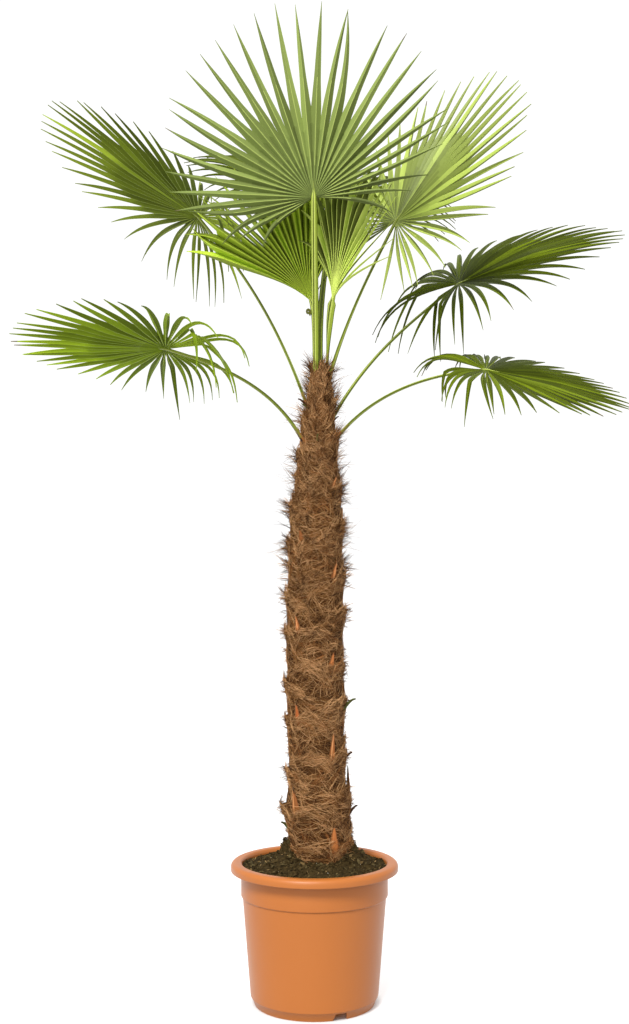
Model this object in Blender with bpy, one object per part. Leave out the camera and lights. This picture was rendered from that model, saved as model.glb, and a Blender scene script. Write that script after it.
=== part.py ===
"""A fan palm about 2.1 m tall in a moulded plastic pot.

Metres, +Z up. The origin is the centre of the pot's underside, the palm's front faces -Y, and
bearings are measured round +Z from +X.
"""

from dataclasses import dataclass
from math import cos, pi, radians, sin

import bmesh
import bpy
import numpy as np

GAP = 0.0003  # clearance between two pieces that touch
UP = np.array([0.0, 0.0, 1.0])

# Pot
POT_SIDES = 40
FIRST_SIDE = 0.3  # how far round the first corner stands, as a share of one side
POT_HEIGHT = 0.301
LIP_RADIUS = 0.180
LIP_DEPTH = 0.018
OPENING_RADIUS = 0.161
COLLAR_RADIUS = 0.158
STEP_HEIGHT = 0.2305  # where the collar steps in to the body
BODY_TOP_RADIUS = 0.1545
BODY_FOOT_RADIUS = 0.1372
FOOT_RADIUS = 0.1287
FOOT_HEIGHT = 0.018
WALL = 0.003
LIP_ROUNDING = 0.010
LIP_HOLLOW = 0.0045  # from the lip's top to its underside
PAD_RADIUS = 0.032  # the floor's middle, which comes down level with the foot
PAD_SLOPE = 0.010
EDGE = 0.001
DRAIN_NOTCHES = 3
FIRST_NOTCH = radians(-65.7)
NOTCH_WIDTH = 0.030
NOTCH_HEIGHT = 0.0155

# Soil
SOIL_GAP = 0.0006
SOIL_RIM_HEIGHT = 0.2935
SOIL_MOUND = 0.0130
SOIL_SLOPE = ((0.080, 0.0), (0.108, 0.5), (0.136, 0.92))  # radius, and the mound's fall there
SOIL_ROUGHNESS = 0.0018

# Trunk: its outline as height and radius, and how far its axis stands off the pot's
TRUNK_SIDES = 24
TRUNK_RINGS = 46
TRUNK_FOOT = SOIL_RIM_HEIGHT + SOIL_MOUND + GAP
TRUNK_TOP = 1.376
TRUNK_HEIGHTS = (
    TRUNK_FOOT, 0.330, 0.380, 0.432, 0.455, 0.860, 1.000, 1.090, 1.190, 1.240, 1.300, 1.345, TRUNK_TOP
)
TRUNK_RADII = (
    0.0610, 0.0615, 0.0645, 0.0665, 0.0570, 0.0560, 0.0530, 0.0460, 0.0355, 0.0305, 0.0255, 0.0200, 0.0160
)
ROUNDING = np.array([-0.015, -0.005, 0.005, 0.015])
LEAN_HEIGHTS = (TRUNK_FOOT, 0.450, 0.720, 1.000, 1.190, TRUNK_TOP)
LEAN_OFFSETS = (0.0125, 0.0060, 0.0000, 0.0030, 0.0080, 0.0150)

# Old leaf bases: they climb the trunk two turns in every five, each over a sheath of fibre
BASE_COUNT = 22
BASE_FIRST_HEIGHT = 0.352
BASE_RISE = 0.038
BASE_FIRST_BEARING = radians(-64)
BASE_TURN = radians(144.6)
BASE_LENGTH = 0.070
BASE_WIDTH = 0.026
BASE_THICKNESS = 0.008
BASE_STAND = (0.006, 0.012)  # how far a cut end stands off the trunk, least and most
BASE_SHRINK = (0.45, 0.30)  # the height above which the bases get smaller, and over how much
BASE_SEAT = 0.001  # how far its back sinks into the trunk, before the trunk is cut from it
SHEATH_LENGTH = 0.100
SHEATH_REACH = radians(105)  # how far round the trunk one sheath wraps, each way
SHEATH_SLANT = 0.030
SHEATH_RELIEF = 0.0095
RELIEF_ENDS = (1.20, 0.12)  # the height where the relief starts to fade, and over how much

# Stalks and fronds
STALK_SIDES = 6
STALK_RINGS = 9
STALK_WIDTH = 0.0135
STALK_THICKNESS = 0.0095
STALK_FOOT = 0.10  # the length over which a stalk widens down to its root
STALK_NARROWS = 8.0  # how fast a broad stalk narrows before its hub
STALK_HANDLE = 0.35  # how far along a stalk its two bends sit, as a share of its span
ROOT_DEPTH = 0.012  # how far a stalk's foot starts inside the trunk, before the trunk is cut from it
HUB_REACH = 0.016  # from a frond's hub back to its stalk
HUB_WIDTH = 0.011
HUB_THICKNESS = 0.008
BLADE_THICKNESS = 0.0042
RAY_STEPS = 12
RAY_START = 0.004  # from the hub to a leaflet's own start
RAY_OPENS = 0.5  # the share of their length along which gathered leaflets swing apart
BACK_FROM = 55.0  # the angle off the middle leaflet where the back leaflets begin, in degrees


@dataclass
class Leaf:
    """One leaf: a stalk from its root on the trunk to a hub, and a round fan of leaflets there.

    Angles are in degrees. aim and rise point the fan's middle leaflet, and roll turns the fan
    about it. spread is the fan's half angle. taper shortens the leaflets towards the back and
    skew lengthens one side, and turn swings the whole fan round in its plane. droop and back_droop
    bend the front and back leaflets down, past the share stiff of their length, and cup lifts both
    sides of the fan. gather is how far a young leaf's leaflets still lie together near the hub.
    broad is how wide the stalk is for a stalk here, and flare how much wider its foot is.
    """

    name: str
    root: tuple
    hub: tuple
    aim: float
    rise: float
    roll: float
    radius: float
    spread: float
    taper: float
    droop: float
    back_droop: float
    stiff: float
    cup: float = 0.0
    skew: float = 0.0
    turn: float = 0.0
    gather: float = 0.0
    broad: float = 1.0
    flare: float = 0.9
    leaflets: int = 30
    start_rise: float = 0.5
    arrive: float = 0.35
    sections: int = 2


LEAVES = (
    Leaf(
        "front_high", root=(0.0035, -0.0135, 1.350), hub=(-0.0015, -0.150, 1.7027),
        aim=265, rise=84, roll=-3, radius=0.398, spread=116, taper=0.45,
        droop=0.02, back_droop=0.4, stiff=0.70, skew=-0.085, turn=10, broad=1.3, flare=-0.30, sections=1,
    ),
    Leaf(
        "front_right", root=(0.0314, -0.0076, 1.345), hub=(0.1769, -0.010, 1.6863),
        aim=-6, rise=54.5, roll=-35.5, radius=0.397, spread=136, taper=0.40,
        droop=0.05, back_droop=1.1, stiff=0.70, cup=-0.02, skew=-0.12, broad=1.1, flare=0.2,
    ),
    Leaf(
        "back_left", root=(-0.0166, 0.0090, 1.290), hub=(-0.2724, 0.206, 1.7492),
        aim=196, rise=33, roll=-1, radius=0.427, spread=138, taper=0.49,
        droop=0.12, back_droop=4.0, stiff=0.55, cup=-0.03, skew=0.16,
    ),
    Leaf(
        "low_left", root=(-0.0178, -0.0103, 1.195), hub=(-0.3033, -0.200, 1.3793),
        aim=191, rise=3, roll=-9, radius=0.314, spread=148, taper=0.31,
        droop=0.05, back_droop=4.6, stiff=0.80, cup=0.02, skew=-0.04, start_rise=1.1, arrive=0.6,
    ),
    Leaf(
        "back_right", root=(0.0308, 0.0096, 1.245), hub=(0.3359, 0.200, 1.5910),
        aim=4, rise=25, roll=-19, radius=0.392, spread=146, taper=0.36,
        droop=0.42, back_droop=2.0, stiff=0.15, cup=0.06, skew=-0.05,
    ),
    Leaf(
        "low_right", root=(0.0371, -0.0085, 1.200), hub=(0.3615, -0.100, 1.3500),
        aim=1, rise=-11, roll=-20, radius=0.310, spread=148, taper=0.42,
        droop=0.12, back_droop=3.0, stiff=0.50, start_rise=0.9, arrive=0.6,
    ),
    Leaf(
        "young_left", root=(-0.0010, 0.0040, 1.364), hub=(-0.0059, 0.002, 1.5107),
        aim=188, rise=68, roll=-80, radius=0.325, spread=50, taper=0.30,
        droop=0.10, back_droop=0.3, stiff=0.50, gather=0.55, flare=-0.1,
        leaflets=14, sections=1,
    ),
    Leaf(
        "young_right", root=(0.0285, -0.0020, 1.364), hub=(0.0394, -0.037, 1.5108),
        aim=-34, rise=68, roll=80, radius=0.298, spread=45, taper=0.50,
        droop=0.10, back_droop=0.6, stiff=0.50, gather=0.75, broad=1.4, flare=-0.45,
        leaflets=12, sections=1,
    ),
    Leaf(
        "back_high", root=(0.0140, 0.0120, 1.364), hub=(0.0382, 0.340, 1.8017),
        aim=112, rise=34, roll=0, radius=0.410, spread=124, taper=0.32,
        droop=1.20, back_droop=1.6, stiff=0.65, cup=0.20, broad=1.5, flare=-0.45, start_rise=0.9,
    ),
)


def unit(vector):
    """The vector, or each row of vectors, at length one."""
    return vector / np.linalg.norm(vector, axis=-1, keepdims=True)


def smooth_step(share):
    share = np.clip(share, 0.0, 1.0)
    return share * share * (3.0 - 2.0 * share)


def smooth_between(value, places, levels):
    """A curve that follows the levels at the places, with its corners rounded off."""
    return float(np.mean(np.interp(value + ROUNDING, places, levels)))


def material(name, colour, roughness):
    made = bpy.data.materials.new(name)
    made.use_nodes = True
    shader = made.node_tree.nodes["Principled BSDF"]
    shader.inputs["Base Color"].default_value = (*colour, 1.0)
    shader.inputs["Roughness"].default_value = roughness
    shader.inputs["Metallic"].default_value = 0.0
    made.diffuse_color = (*colour, 1.0)
    return made


def make_object(name, points, faces, finish, sharp_angle=40):
    """An object of the points and faces, its normals out, shaded smooth but for its sharp edges."""
    mesh = bpy.data.meshes.new(name)
    mesh.from_pydata([tuple(map(float, point)) for point in points], [], faces)
    shape = bmesh.new()
    shape.from_mesh(mesh)
    bmesh.ops.triangulate(shape, faces=[face for face in shape.faces if len(face.verts) > 4])
    bmesh.ops.recalc_face_normals(shape, faces=shape.faces)
    shape.to_mesh(mesh)
    shape.free()
    mesh.shade_smooth()
    mesh.set_sharp_from_angle(angle=radians(sharp_angle))
    mesh.materials.append(finish)
    made = bpy.data.objects.new(name, mesh)
    bpy.context.scene.collection.objects.link(made)
    return made


def as_cutter(cutter):
    """Marks an object as a tool that is not part of the model."""
    cutter.hide_render = True
    cutter.display_type = "WIRE"
    return cutter


def cut_from(piece, cutter):
    """Takes the cutter's space out of the piece with a Boolean that stays on it."""
    cut = piece.modifiers.new("clear of " + cutter.name, "BOOLEAN")
    cut.operation = "DIFFERENCE"
    cut.solver = "EXACT"
    cut.object = cutter


def loft(rings):
    """Points and faces of a closed tube through rings of equal size, with a flat cap at each end."""
    size = len(rings[0])
    points = [point for ring in rings for point in ring]
    faces = [tuple(range(size)), tuple(range(len(points) - size, len(points)))]
    for start in range(0, len(points) - size, size):
        for side in range(size):
            after = (side + 1) % size
            faces.append((start + side, start + after, start + size + after, start + size + side))
    return points, faces


def turned(profile, sides):
    """Points and faces of a profile of radius and height, turned about Z from pole to pole."""
    poles = [(0.0, 0.0, profile[0][1]), (0.0, 0.0, profile[-1][1])]
    points = list(poles)
    for radius, height in profile[1:-1]:
        for side in range(sides):
            angle = 2 * pi * (side + FIRST_SIDE) / sides
            points.append((radius * cos(angle), radius * sin(angle), height))
    faces = []
    last = len(points) - sides
    for side in range(sides):
        after = (side + 1) % sides
        faces.append((0, 2 + side, 2 + after))
        faces.append((1, last + after, last + side))
        for start in range(2, last, sides):
            faces.append((start + side, start + after, start + sides + after, start + sides + side))
    return points, faces


def rounded(centre, reach, first, last, steps):
    """Points of an elliptical arc between two angles in degrees."""
    angles = [radians(first + (last - first) * step / steps) for step in range(steps + 1)]
    return [(centre[0] + reach[0] * cos(angle), centre[1] + reach[1] * sin(angle)) for angle in angles]


def pot_inside():
    """The pot's inner wall as radius and height, from the opening down to the middle of the floor."""
    floor = FOOT_HEIGHT + WALL
    return [
        (COLLAR_RADIUS - WALL, POT_HEIGHT - LIP_ROUNDING),
        (COLLAR_RADIUS - WALL, STEP_HEIGHT),
        (BODY_TOP_RADIUS - WALL, STEP_HEIGHT - WALL),
        (BODY_FOOT_RADIUS - WALL, floor),
        (PAD_RADIUS + PAD_SLOPE + WALL, floor),
        (PAD_RADIUS, WALL),
        (0.0, WALL),
    ]


def pot_outside():
    """The pot's outer wall as radius and height, from the middle of the underside up to the lip."""
    under_lip = POT_HEIGHT - LIP_HOLLOW
    lip_foot = POT_HEIGHT - LIP_DEPTH
    return [
        (0.0, 0.0),
        (PAD_RADIUS, 0.0),
        (PAD_RADIUS + PAD_SLOPE, FOOT_HEIGHT),
        (BODY_FOOT_RADIUS - WALL - EDGE, FOOT_HEIGHT),
        (FOOT_RADIUS - WALL, 0.0),
        (FOOT_RADIUS, 0.0),
        (BODY_FOOT_RADIUS - EDGE, FOOT_HEIGHT),
        (BODY_FOOT_RADIUS, FOOT_HEIGHT + EDGE),
        (BODY_TOP_RADIUS, STEP_HEIGHT - EDGE),
        (COLLAR_RADIUS, STEP_HEIGHT + EDGE),
        (COLLAR_RADIUS, under_lip),
        (LIP_RADIUS - WALL, under_lip),
        (LIP_RADIUS - WALL, lip_foot),
        (LIP_RADIUS, lip_foot),
    ]


def make_pot(finish):
    lip_top = POT_HEIGHT - LIP_ROUNDING
    over_edge = (LIP_ROUNDING, LIP_ROUNDING)
    into_opening = (OPENING_RADIUS - COLLAR_RADIUS + WALL, LIP_ROUNDING)
    profile = pot_outside()
    profile += rounded((LIP_RADIUS - LIP_ROUNDING, lip_top), over_edge, 0, 90, 4)
    profile += rounded((OPENING_RADIUS, lip_top), into_opening, 90, 150, 2)
    profile += pot_inside()
    pot = make_object("pot", *turned(profile, POT_SIDES), finish)
    for notch in range(DRAIN_NOTCHES):
        cut_from(pot, drain_notch(notch, finish))
    return pot


def drain_notch(index, finish):
    """A wedge that opens the foot to the ground, a little wider at the ground than at its top."""
    angle = FIRST_NOTCH + 2 * pi * index / DRAIN_NOTCHES
    out = np.array([cos(angle), sin(angle), 0.0])
    side = np.array([-sin(angle), cos(angle), 0.0])
    rings = []
    for reach in (FOOT_RADIUS - 3 * WALL, BODY_FOOT_RADIUS + WALL):
        ring = []
        for height, half in ((-WALL, NOTCH_WIDTH * 0.56), (NOTCH_HEIGHT, NOTCH_WIDTH * 0.42)):
            ring += [out * reach + side * half * sign + UP * height for sign in (-1, 1)]
        rings.append([ring[0], ring[1], ring[3], ring[2]])
    return as_cutter(make_object(f"drain_notch_{index + 1}", *loft(rings), finish))


def make_soil(finish):
    """The soil that fills the pot, mounded to the trunk's foot, where it is flat."""
    inside = [(max(radius - SOIL_GAP, 0.0), height + SOIL_GAP) for radius, height in pot_inside()]
    inside[0] = (inside[0][0], SOIL_RIM_HEIGHT)
    foot = TRUNK_FOOT - GAP
    mound = [(0.0, foot)]
    for radius, share in SOIL_SLOPE:
        mound.append((radius, foot - share * SOIL_MOUND))
    points, faces = turned(mound + inside, POT_SIDES)
    rough = np.random.default_rng(7)
    for index in range(2 + POT_SIDES, 2 + 4 * POT_SIDES):
        x, y, z = points[index]
        points[index] = (x, y, z + rough.uniform(-SOIL_ROUGHNESS, SOIL_ROUGHNESS))
    return make_object("soil", points, faces, finish)


def base_bearing(index):
    return BASE_FIRST_BEARING + BASE_TURN * index


def base_height(index):
    return BASE_FIRST_HEIGHT + BASE_RISE * index


def trunk_radius(bearing, height):
    """The trunk's radius: its taper, and the sheath that stands out furthest there."""
    relief = 0.0
    for index in range(BASE_COUNT + 6):
        turn = abs((bearing - base_bearing(index) + pi) % (2 * pi) - pi) / SHEATH_REACH
        top = base_height(index) - SHEATH_SLANT * turn * turn
        climb = (height - top + SHEATH_LENGTH) / SHEATH_LENGTH
        if turn < 1.0 and 0.0 < climb < 1.0:
            relief = max(relief, climb**2 * (1.0 - turn**3))
    fade = 1.0 - smooth_step((height - RELIEF_ENDS[0]) / RELIEF_ENDS[1])
    return smooth_between(height, TRUNK_HEIGHTS, TRUNK_RADII) + SHEATH_RELIEF * relief * float(fade)


def trunk_axis(height):
    return np.array([smooth_between(height, LEAN_HEIGHTS, LEAN_OFFSETS), 0.0, height])


def trunk_rings(grow):
    """Rings up the trunk, each side's radius grown by the clearance asked for."""
    rings = []
    for level in range(TRUNK_RINGS):
        height = TRUNK_FOOT + (TRUNK_TOP - TRUNK_FOOT) * level / (TRUNK_RINGS - 1)
        ring = []
        for side in range(TRUNK_SIDES):
            bearing = 2 * pi * side / TRUNK_SIDES
            out = np.array([cos(bearing), sin(bearing), 0.0])
            ring.append(trunk_axis(height) + out * (trunk_radius(bearing, height) + grow))
        rings.append(ring)
    return rings


def make_trunk(finish):
    return make_object("trunk", *loft(trunk_rings(0.0)), finish)


def make_trunk_clearance(finish):
    """The trunk grown by a gap all round, which is cut from whatever stands on the trunk."""
    rings = trunk_rings(2 * GAP)
    for ring in (rings[0], rings[-1]):
        for index, point in enumerate(ring):
            ring[index] = point + UP * (2 * GAP if ring is rings[-1] else -0.02)
    return as_cutter(make_object("trunk_clearance", *loft(rings), finish))


def make_old_base(index, finish, clearance):
    """What is left of a cut leaf: a strap that leans off the trunk and narrows to its cut end."""
    bearing = base_bearing(index)
    rough = np.random.default_rng(100 + index)
    out = np.array([cos(bearing), sin(bearing), 0.0])
    side = np.array([-sin(bearing), cos(bearing), 0.0])
    stand = rough.uniform(*BASE_STAND)
    size = 1.0 - 0.4 * float(smooth_step((base_height(index) - BASE_SHRINK[0]) / BASE_SHRINK[1]))
    length = BASE_LENGTH * rough.uniform(0.8, 1.1) * size
    foot = base_height(index) - 0.45 * length
    rings = []
    for share in (0.0, 0.35, 0.7, 1.0):
        height = foot + length * share
        surface = trunk_radius(bearing, min(foot, base_height(index) - 0.004))
        centre = trunk_axis(height) + out * (surface - BASE_SEAT + stand * share * share)
        half = BASE_WIDTH * size * (0.5 - 0.36 * share)
        thick = BASE_THICKNESS * (0.62 - 0.20 * share)
        ring = [(-half, -thick * 0.7), (half, -thick * 0.7), (half * 0.7, thick), (-half * 0.7, thick)]
        rings.append([centre + side * across + out * off for across, off in ring])
    piece = make_object(f"old_base_{index + 1:02d}", *loft(rings), finish)
    cut_from(piece, clearance)
    return piece


def fan_frame(leaf):
    """The fan's own axes: along its middle leaflet, across the fan, and out of its upper face."""
    aim, rise, roll = radians(leaf.aim), radians(leaf.rise), radians(leaf.roll)
    along = np.array([cos(aim) * cos(rise), sin(aim) * cos(rise), sin(rise)])
    level = np.array([sin(aim), -cos(aim), 0.0])
    upright = np.cross(level, along)
    return along, cos(roll) * level + sin(roll) * upright, cos(roll) * upright - sin(roll) * level


def leaflet_length(leaf, place):
    """A leaflet's length at its place in the fan, from -1 at one back edge to 1 at the other."""
    return leaf.radius * (1.0 - leaf.taper * place * place) * (1.0 + leaf.skew * place)


def ray(leaf, place, bend_scale=1.0):
    """Points and blade normals along one line of the fan from its hub, as it bends down."""
    along, across, normal = fan_frame(leaf)
    swing = radians(leaf.spread * place) * leaf.gather
    angle = radians(leaf.spread * place + leaf.turn) - swing
    heading = unit(cos(angle) * along + sin(angle) * across + leaf.cup * abs(sin(angle)) * normal)
    sideways = unit(cos(angle) * across - sin(angle) * along)
    back = float(smooth_step((abs(place) * leaf.spread - BACK_FROM) / max(leaf.spread - BACK_FROM, 1.0)))
    bend = (leaf.droop * (1.0 - back) + leaf.back_droop * back) * bend_scale
    straight = leaf.stiff * 0.5
    step = leaflet_length(leaf, place) / RAY_STEPS
    point = np.array(leaf.hub) + heading * RAY_START
    points, normals = [point], [unit(np.cross(sideways, heading))]
    for index in range(RAY_STEPS):
        share = (index + 0.5) / RAY_STEPS
        pull = bend * 2.0 * (max(share - straight, 0.0) / (1.0 - straight)) ** 1.3 / RAY_STEPS
        opening = 2.0 * swing * max(0.0, 1.0 - share / RAY_OPENS) / (RAY_OPENS * RAY_STEPS)
        heading = unit(heading - (UP - UP.dot(heading) * heading) * pull + sideways * opening)
        sideways = unit(sideways - sideways.dot(heading) * heading)
        point = point + heading * step
        points.append(point)
        normals.append(unit(np.cross(sideways, heading)))
    return np.array(points), np.array(normals)


def on_ray(path, share):
    """The point, normal and sideways direction at a share of a ray's length."""
    points, normals = path
    place = share * RAY_STEPS
    index = min(int(place), RAY_STEPS - 1)
    rest = place - index
    point = points[index] * (1 - rest) + points[index + 1] * rest
    normal = unit(normals[index] * (1 - rest) + normals[index + 1] * rest)
    heading = unit(points[index + 1] - points[index])
    return point, normal, unit(np.cross(heading, normal))


def joined_reach(leaf, place):
    """How far from the hub two neighbouring leaflets stay joined."""
    share = 0.46 - 0.30 * abs(place) ** 1.5
    return max(0.020, share * leaflet_length(leaf, place))


def make_fan(leaf, finish):
    """The blade: pleats joined round the hub, then free leaflets that taper to their tips."""
    count = leaf.leaflets
    pitch = 2.0 / count
    rough = np.random.default_rng(len(leaf.name) * 31 + int(leaf.radius * 1000))
    along, across, normal = fan_frame(leaf)
    hub = np.array(leaf.hub)
    points = [hub + normal * HUB_THICKNESS / 2, hub - normal * HUB_THICKNESS / 2]
    hub_top, hub_under = 0, 1
    for side in (-1, 1):
        corner = hub - along * HUB_REACH + across * side * HUB_WIDTH / 2
        points += [corner + normal * HUB_THICKNESS / 2, corner - normal * HUB_THICKNESS / 2]
    seams = []
    for index in range(count + 1):
        place = -1.0 + pitch * index
        reach = joined_reach(leaf, place)
        point, out, _ = on_ray(ray(leaf, place), reach / leaflet_length(leaf, place))
        ridge = reach * radians(leaf.spread) * pitch * 0.22
        seams.append((len(points), len(points) + 1))
        points += [point + out * (ridge + BLADE_THICKNESS / 2), point + out * (ridge - BLADE_THICKNESS / 2)]
    faces = []
    for index in range(count):
        place = -1.0 + pitch * (index + 0.5)
        length = leaflet_length(leaf, place)
        reach = joined_reach(leaf, place)
        back = smooth_step((abs(place) - 0.5) / 0.4)
        half = reach * radians(leaf.spread) * pitch * 0.5
        path = ray(leaf, place, rough.uniform(0.93, 1.07))
        split = reach / length
        point, out, _ = on_ray(path, split)
        ridge = half * 0.44
        start = len(points)
        points += [point - out * (ridge - BLADE_THICKNESS / 2), point - out * (ridge + BLADE_THICKNESS / 2)]
        left, right = seams[index], seams[index + 1]
        faces += [(hub_top, left[0], start), (hub_top, start, right[0])]
        faces += [(hub_under, start + 1, left[1]), (hub_under, right[1], start + 1)]
        ring = None
        for section in range(leaf.sections):
            share = split + (1.0 - split) * (section + 1) / (leaf.sections + 1.35)
            point, out, sideways = on_ray(path, share)
            wide = half * (0.92 - 0.34 * section) * (1.0 - 0.35 * back)
            thick = BLADE_THICKNESS * (1.0 - 0.3 * section)
            fresh = len(points)
            fold = out * wide * 0.30
            points += [point - sideways * wide + fold, point + sideways * wide + fold]
            points += [point - out * (wide * 0.30 - thick / 2), point - out * (wide * 0.30 + thick / 2)]
            edge_left, edge_right, top, under = fresh, fresh + 1, fresh + 2, fresh + 3
            if ring is None:
                faces += [(left[0], edge_left, top, start), (start, top, edge_right, right[0])]
                faces += [(left[1], start + 1, under, edge_left), (start + 1, right[1], edge_right, under)]
                faces += [(left[0], left[1], edge_left), (right[0], edge_right, right[1])]
            else:
                faces += [(ring[0], edge_left, top, ring[2]), (ring[2], top, edge_right, ring[1])]
                faces += [(ring[0], ring[3], under, edge_left), (ring[3], ring[1], edge_right, under)]
            ring = (edge_left, edge_right, top, under)
        tip = len(points)
        points.append(on_ray(path, 1.0)[0])
        faces += [(ring[0], tip, ring[2]), (ring[2], tip, ring[1])]
        faces += [(ring[0], ring[3], tip), (ring[3], ring[1], tip)]
    first, last = seams[0], seams[-1]
    for level in (0, 1):
        loop = [(hub_top, hub_under)[level], first[level], 2 + level, 4 + level, last[level]]
        faces += [(loop[0], loop[1], loop[2]), (loop[0], loop[2], loop[3]), (loop[0], loop[3], loop[4])]
    faces += [(first[0], first[1], 3, 2), (2, 3, 5, 4), (4, 5, last[1], last[0])]
    return make_object("frond_" + leaf.name, points, faces, finish, sharp_angle=25)


def make_stalk(leaf, finish, clearance):
    """A leaf's stalk: a broad foot against the trunk, then a slender rib out to the fan's hub."""
    along, across, normal = fan_frame(leaf)
    end = np.array(leaf.hub) - along * (HUB_REACH + GAP)
    axis = trunk_axis(leaf.root[2])
    outward = unit(np.array(leaf.root) - axis)
    start = np.array(leaf.root)
    distance = np.linalg.norm(end - start)
    leave = unit(unit(end - start) + UP * leaf.start_rise)
    reach_back = unit(unit(end - start) * (1 - leaf.arrive) + along * leaf.arrive)
    first = start + leave * distance * STALK_HANDLE
    second = end - reach_back * distance * STALK_HANDLE
    low = start - leave * ROOT_DEPTH
    rings = []
    side_from = unit(np.cross(leave, outward))
    if side_from.dot(across) < 0:
        side_from = -side_from
    for index in range(STALK_RINGS):
        share = index / (STALK_RINGS - 1)
        keep = 1.0 - share
        centre = keep**3 * low + 3 * keep**2 * share * first + 3 * keep * share**2 * second + share**3 * end
        heading = unit(
            keep**2 * (first - low) + 2 * keep * share * (second - first) + share**2 * (end - second)
        )
        side = side_from * keep + across * share
        side = unit(side - side.dot(heading) * heading)
        off = np.cross(side, heading)
        if share == 1.0:
            side, off = across, normal
        foot = max(0.0, 1.0 - share * distance / STALK_FOOT) ** 1.5
        broad = 1.0 + (leaf.broad - 1.0) * min(1.0, STALK_NARROWS * keep)
        wide = STALK_WIDTH * broad * (0.5 - 0.11 * share) * (1.0 + leaf.flare * foot)
        thick = STALK_THICKNESS * (0.5 - 0.08 * share)
        corners = [2 * pi * corner / STALK_SIDES for corner in range(STALK_SIDES)]
        rings.append([centre + side * wide * cos(turn) + off * thick * sin(turn) for turn in corners])
    stalk = make_object("stalk_" + leaf.name, *loft(rings), finish)
    cut_from(stalk, clearance)
    return stalk


def main():
    for old in list(bpy.data.objects):
        bpy.data.objects.remove(old, do_unlink=True)
    plastic = material("terracotta plastic", (0.60, 0.25, 0.10), 0.45)
    earth = material("potting soil", (0.050, 0.036, 0.020), 0.95)
    bark = material("fibre bark", (0.17, 0.10, 0.05), 0.90)
    husk = material("old leaf base", (0.45, 0.20, 0.07), 0.75)
    rib = material("leaf stalk", (0.36, 0.46, 0.09), 0.45)
    blade = material("frond", (0.17, 0.27, 0.06), 0.50)
    make_pot(plastic)
    make_soil(earth)
    make_trunk(bark)
    clearance = make_trunk_clearance(bark)
    for index in range(BASE_COUNT):
        make_old_base(index, husk, clearance)
    for leaf in LEAVES:
        make_stalk(leaf, rib, clearance)
        make_fan(leaf, blade)


main()
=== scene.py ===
"""The looks of a potted fan palm: its pot, soil, fibrous trunk, stalks and pleated fronds.

It is laid out as an add-on and run as a script. Metres, +Z up, with the origin at the centre of
the pot's underside. The palm's front faces -Y, and bearings are measured round +Z from +X.
"""

from dataclasses import dataclass
from math import cos, degrees, pi, radians, sin

import bmesh
import bpy
import numpy as np
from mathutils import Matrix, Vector, noise


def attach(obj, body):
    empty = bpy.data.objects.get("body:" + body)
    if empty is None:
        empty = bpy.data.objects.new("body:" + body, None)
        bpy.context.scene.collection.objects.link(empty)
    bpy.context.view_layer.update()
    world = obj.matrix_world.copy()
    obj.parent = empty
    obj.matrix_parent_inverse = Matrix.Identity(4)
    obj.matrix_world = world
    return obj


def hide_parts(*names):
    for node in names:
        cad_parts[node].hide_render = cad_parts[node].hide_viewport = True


bl_info = {
    "name": "Potted fan palm",
    "version": (1, 0, 0),
    "blender": (4, 5, 0),
    "location": "View3D > Sidebar > Palm",
    "description": "Dresses the solids of a potted fan palm with leaflets, fibre, soil and plastic",
    "category": "Object",
}

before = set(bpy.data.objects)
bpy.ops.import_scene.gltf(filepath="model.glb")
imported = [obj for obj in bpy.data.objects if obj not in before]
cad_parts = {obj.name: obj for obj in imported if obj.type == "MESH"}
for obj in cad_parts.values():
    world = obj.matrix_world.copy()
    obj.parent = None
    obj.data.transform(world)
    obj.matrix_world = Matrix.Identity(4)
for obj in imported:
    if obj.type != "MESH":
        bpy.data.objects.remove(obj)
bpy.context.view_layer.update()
UP = np.array([0.0, 0.0, 1.0])

# Pot
POT_SIDES = 144
POT_HEIGHT = 0.301
LIP_RADIUS = 0.180
LIP_DEPTH = 0.018
OPENING_RADIUS = 0.161
COLLAR_RADIUS = 0.158
STEP_HEIGHT = 0.2305
BODY_TOP_RADIUS = 0.1545
BODY_FOOT_RADIUS = 0.1372
FOOT_RADIUS = 0.1287
FOOT_HEIGHT = 0.018
WALL = 0.003
PAD_RADIUS = 0.032
DRAIN_NOTCHES = 3
FIRST_NOTCH = radians(-65.7)
NOTCH_WIDTH = 0.030
NOTCH_HEIGHT = 0.0155

# Soil
SOIL_RIM_HEIGHT = 0.2935
SOIL_MOUND = 0.0130
SOIL_RADIUS = 0.1540

# Trunk: its outline as height and radius, and how far its axis stands off the pot's
TRUNK_FOOT = SOIL_RIM_HEIGHT + SOIL_MOUND
TRUNK_TOP = 1.376
TRUNK_HEIGHTS = (
    TRUNK_FOOT, 0.330, 0.380, 0.432, 0.455, 0.860, 1.000, 1.090, 1.190, 1.240, 1.300, 1.345, TRUNK_TOP
)
TRUNK_RADII = (
    0.0610, 0.0615, 0.0645, 0.0665, 0.0570, 0.0560, 0.0530, 0.0460, 0.0355, 0.0305, 0.0255, 0.0200, 0.0160
)
ROUNDING = (-0.015, -0.005, 0.005, 0.015)
LEAN_HEIGHTS = (TRUNK_FOOT, 0.450, 0.720, 1.000, 1.190, TRUNK_TOP)
LEAN_OFFSETS = (0.0125, 0.0060, 0.0000, 0.0030, 0.0080, 0.0150)
TRUNK_SIDES = 112
TRUNK_RINGS = 270

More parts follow.
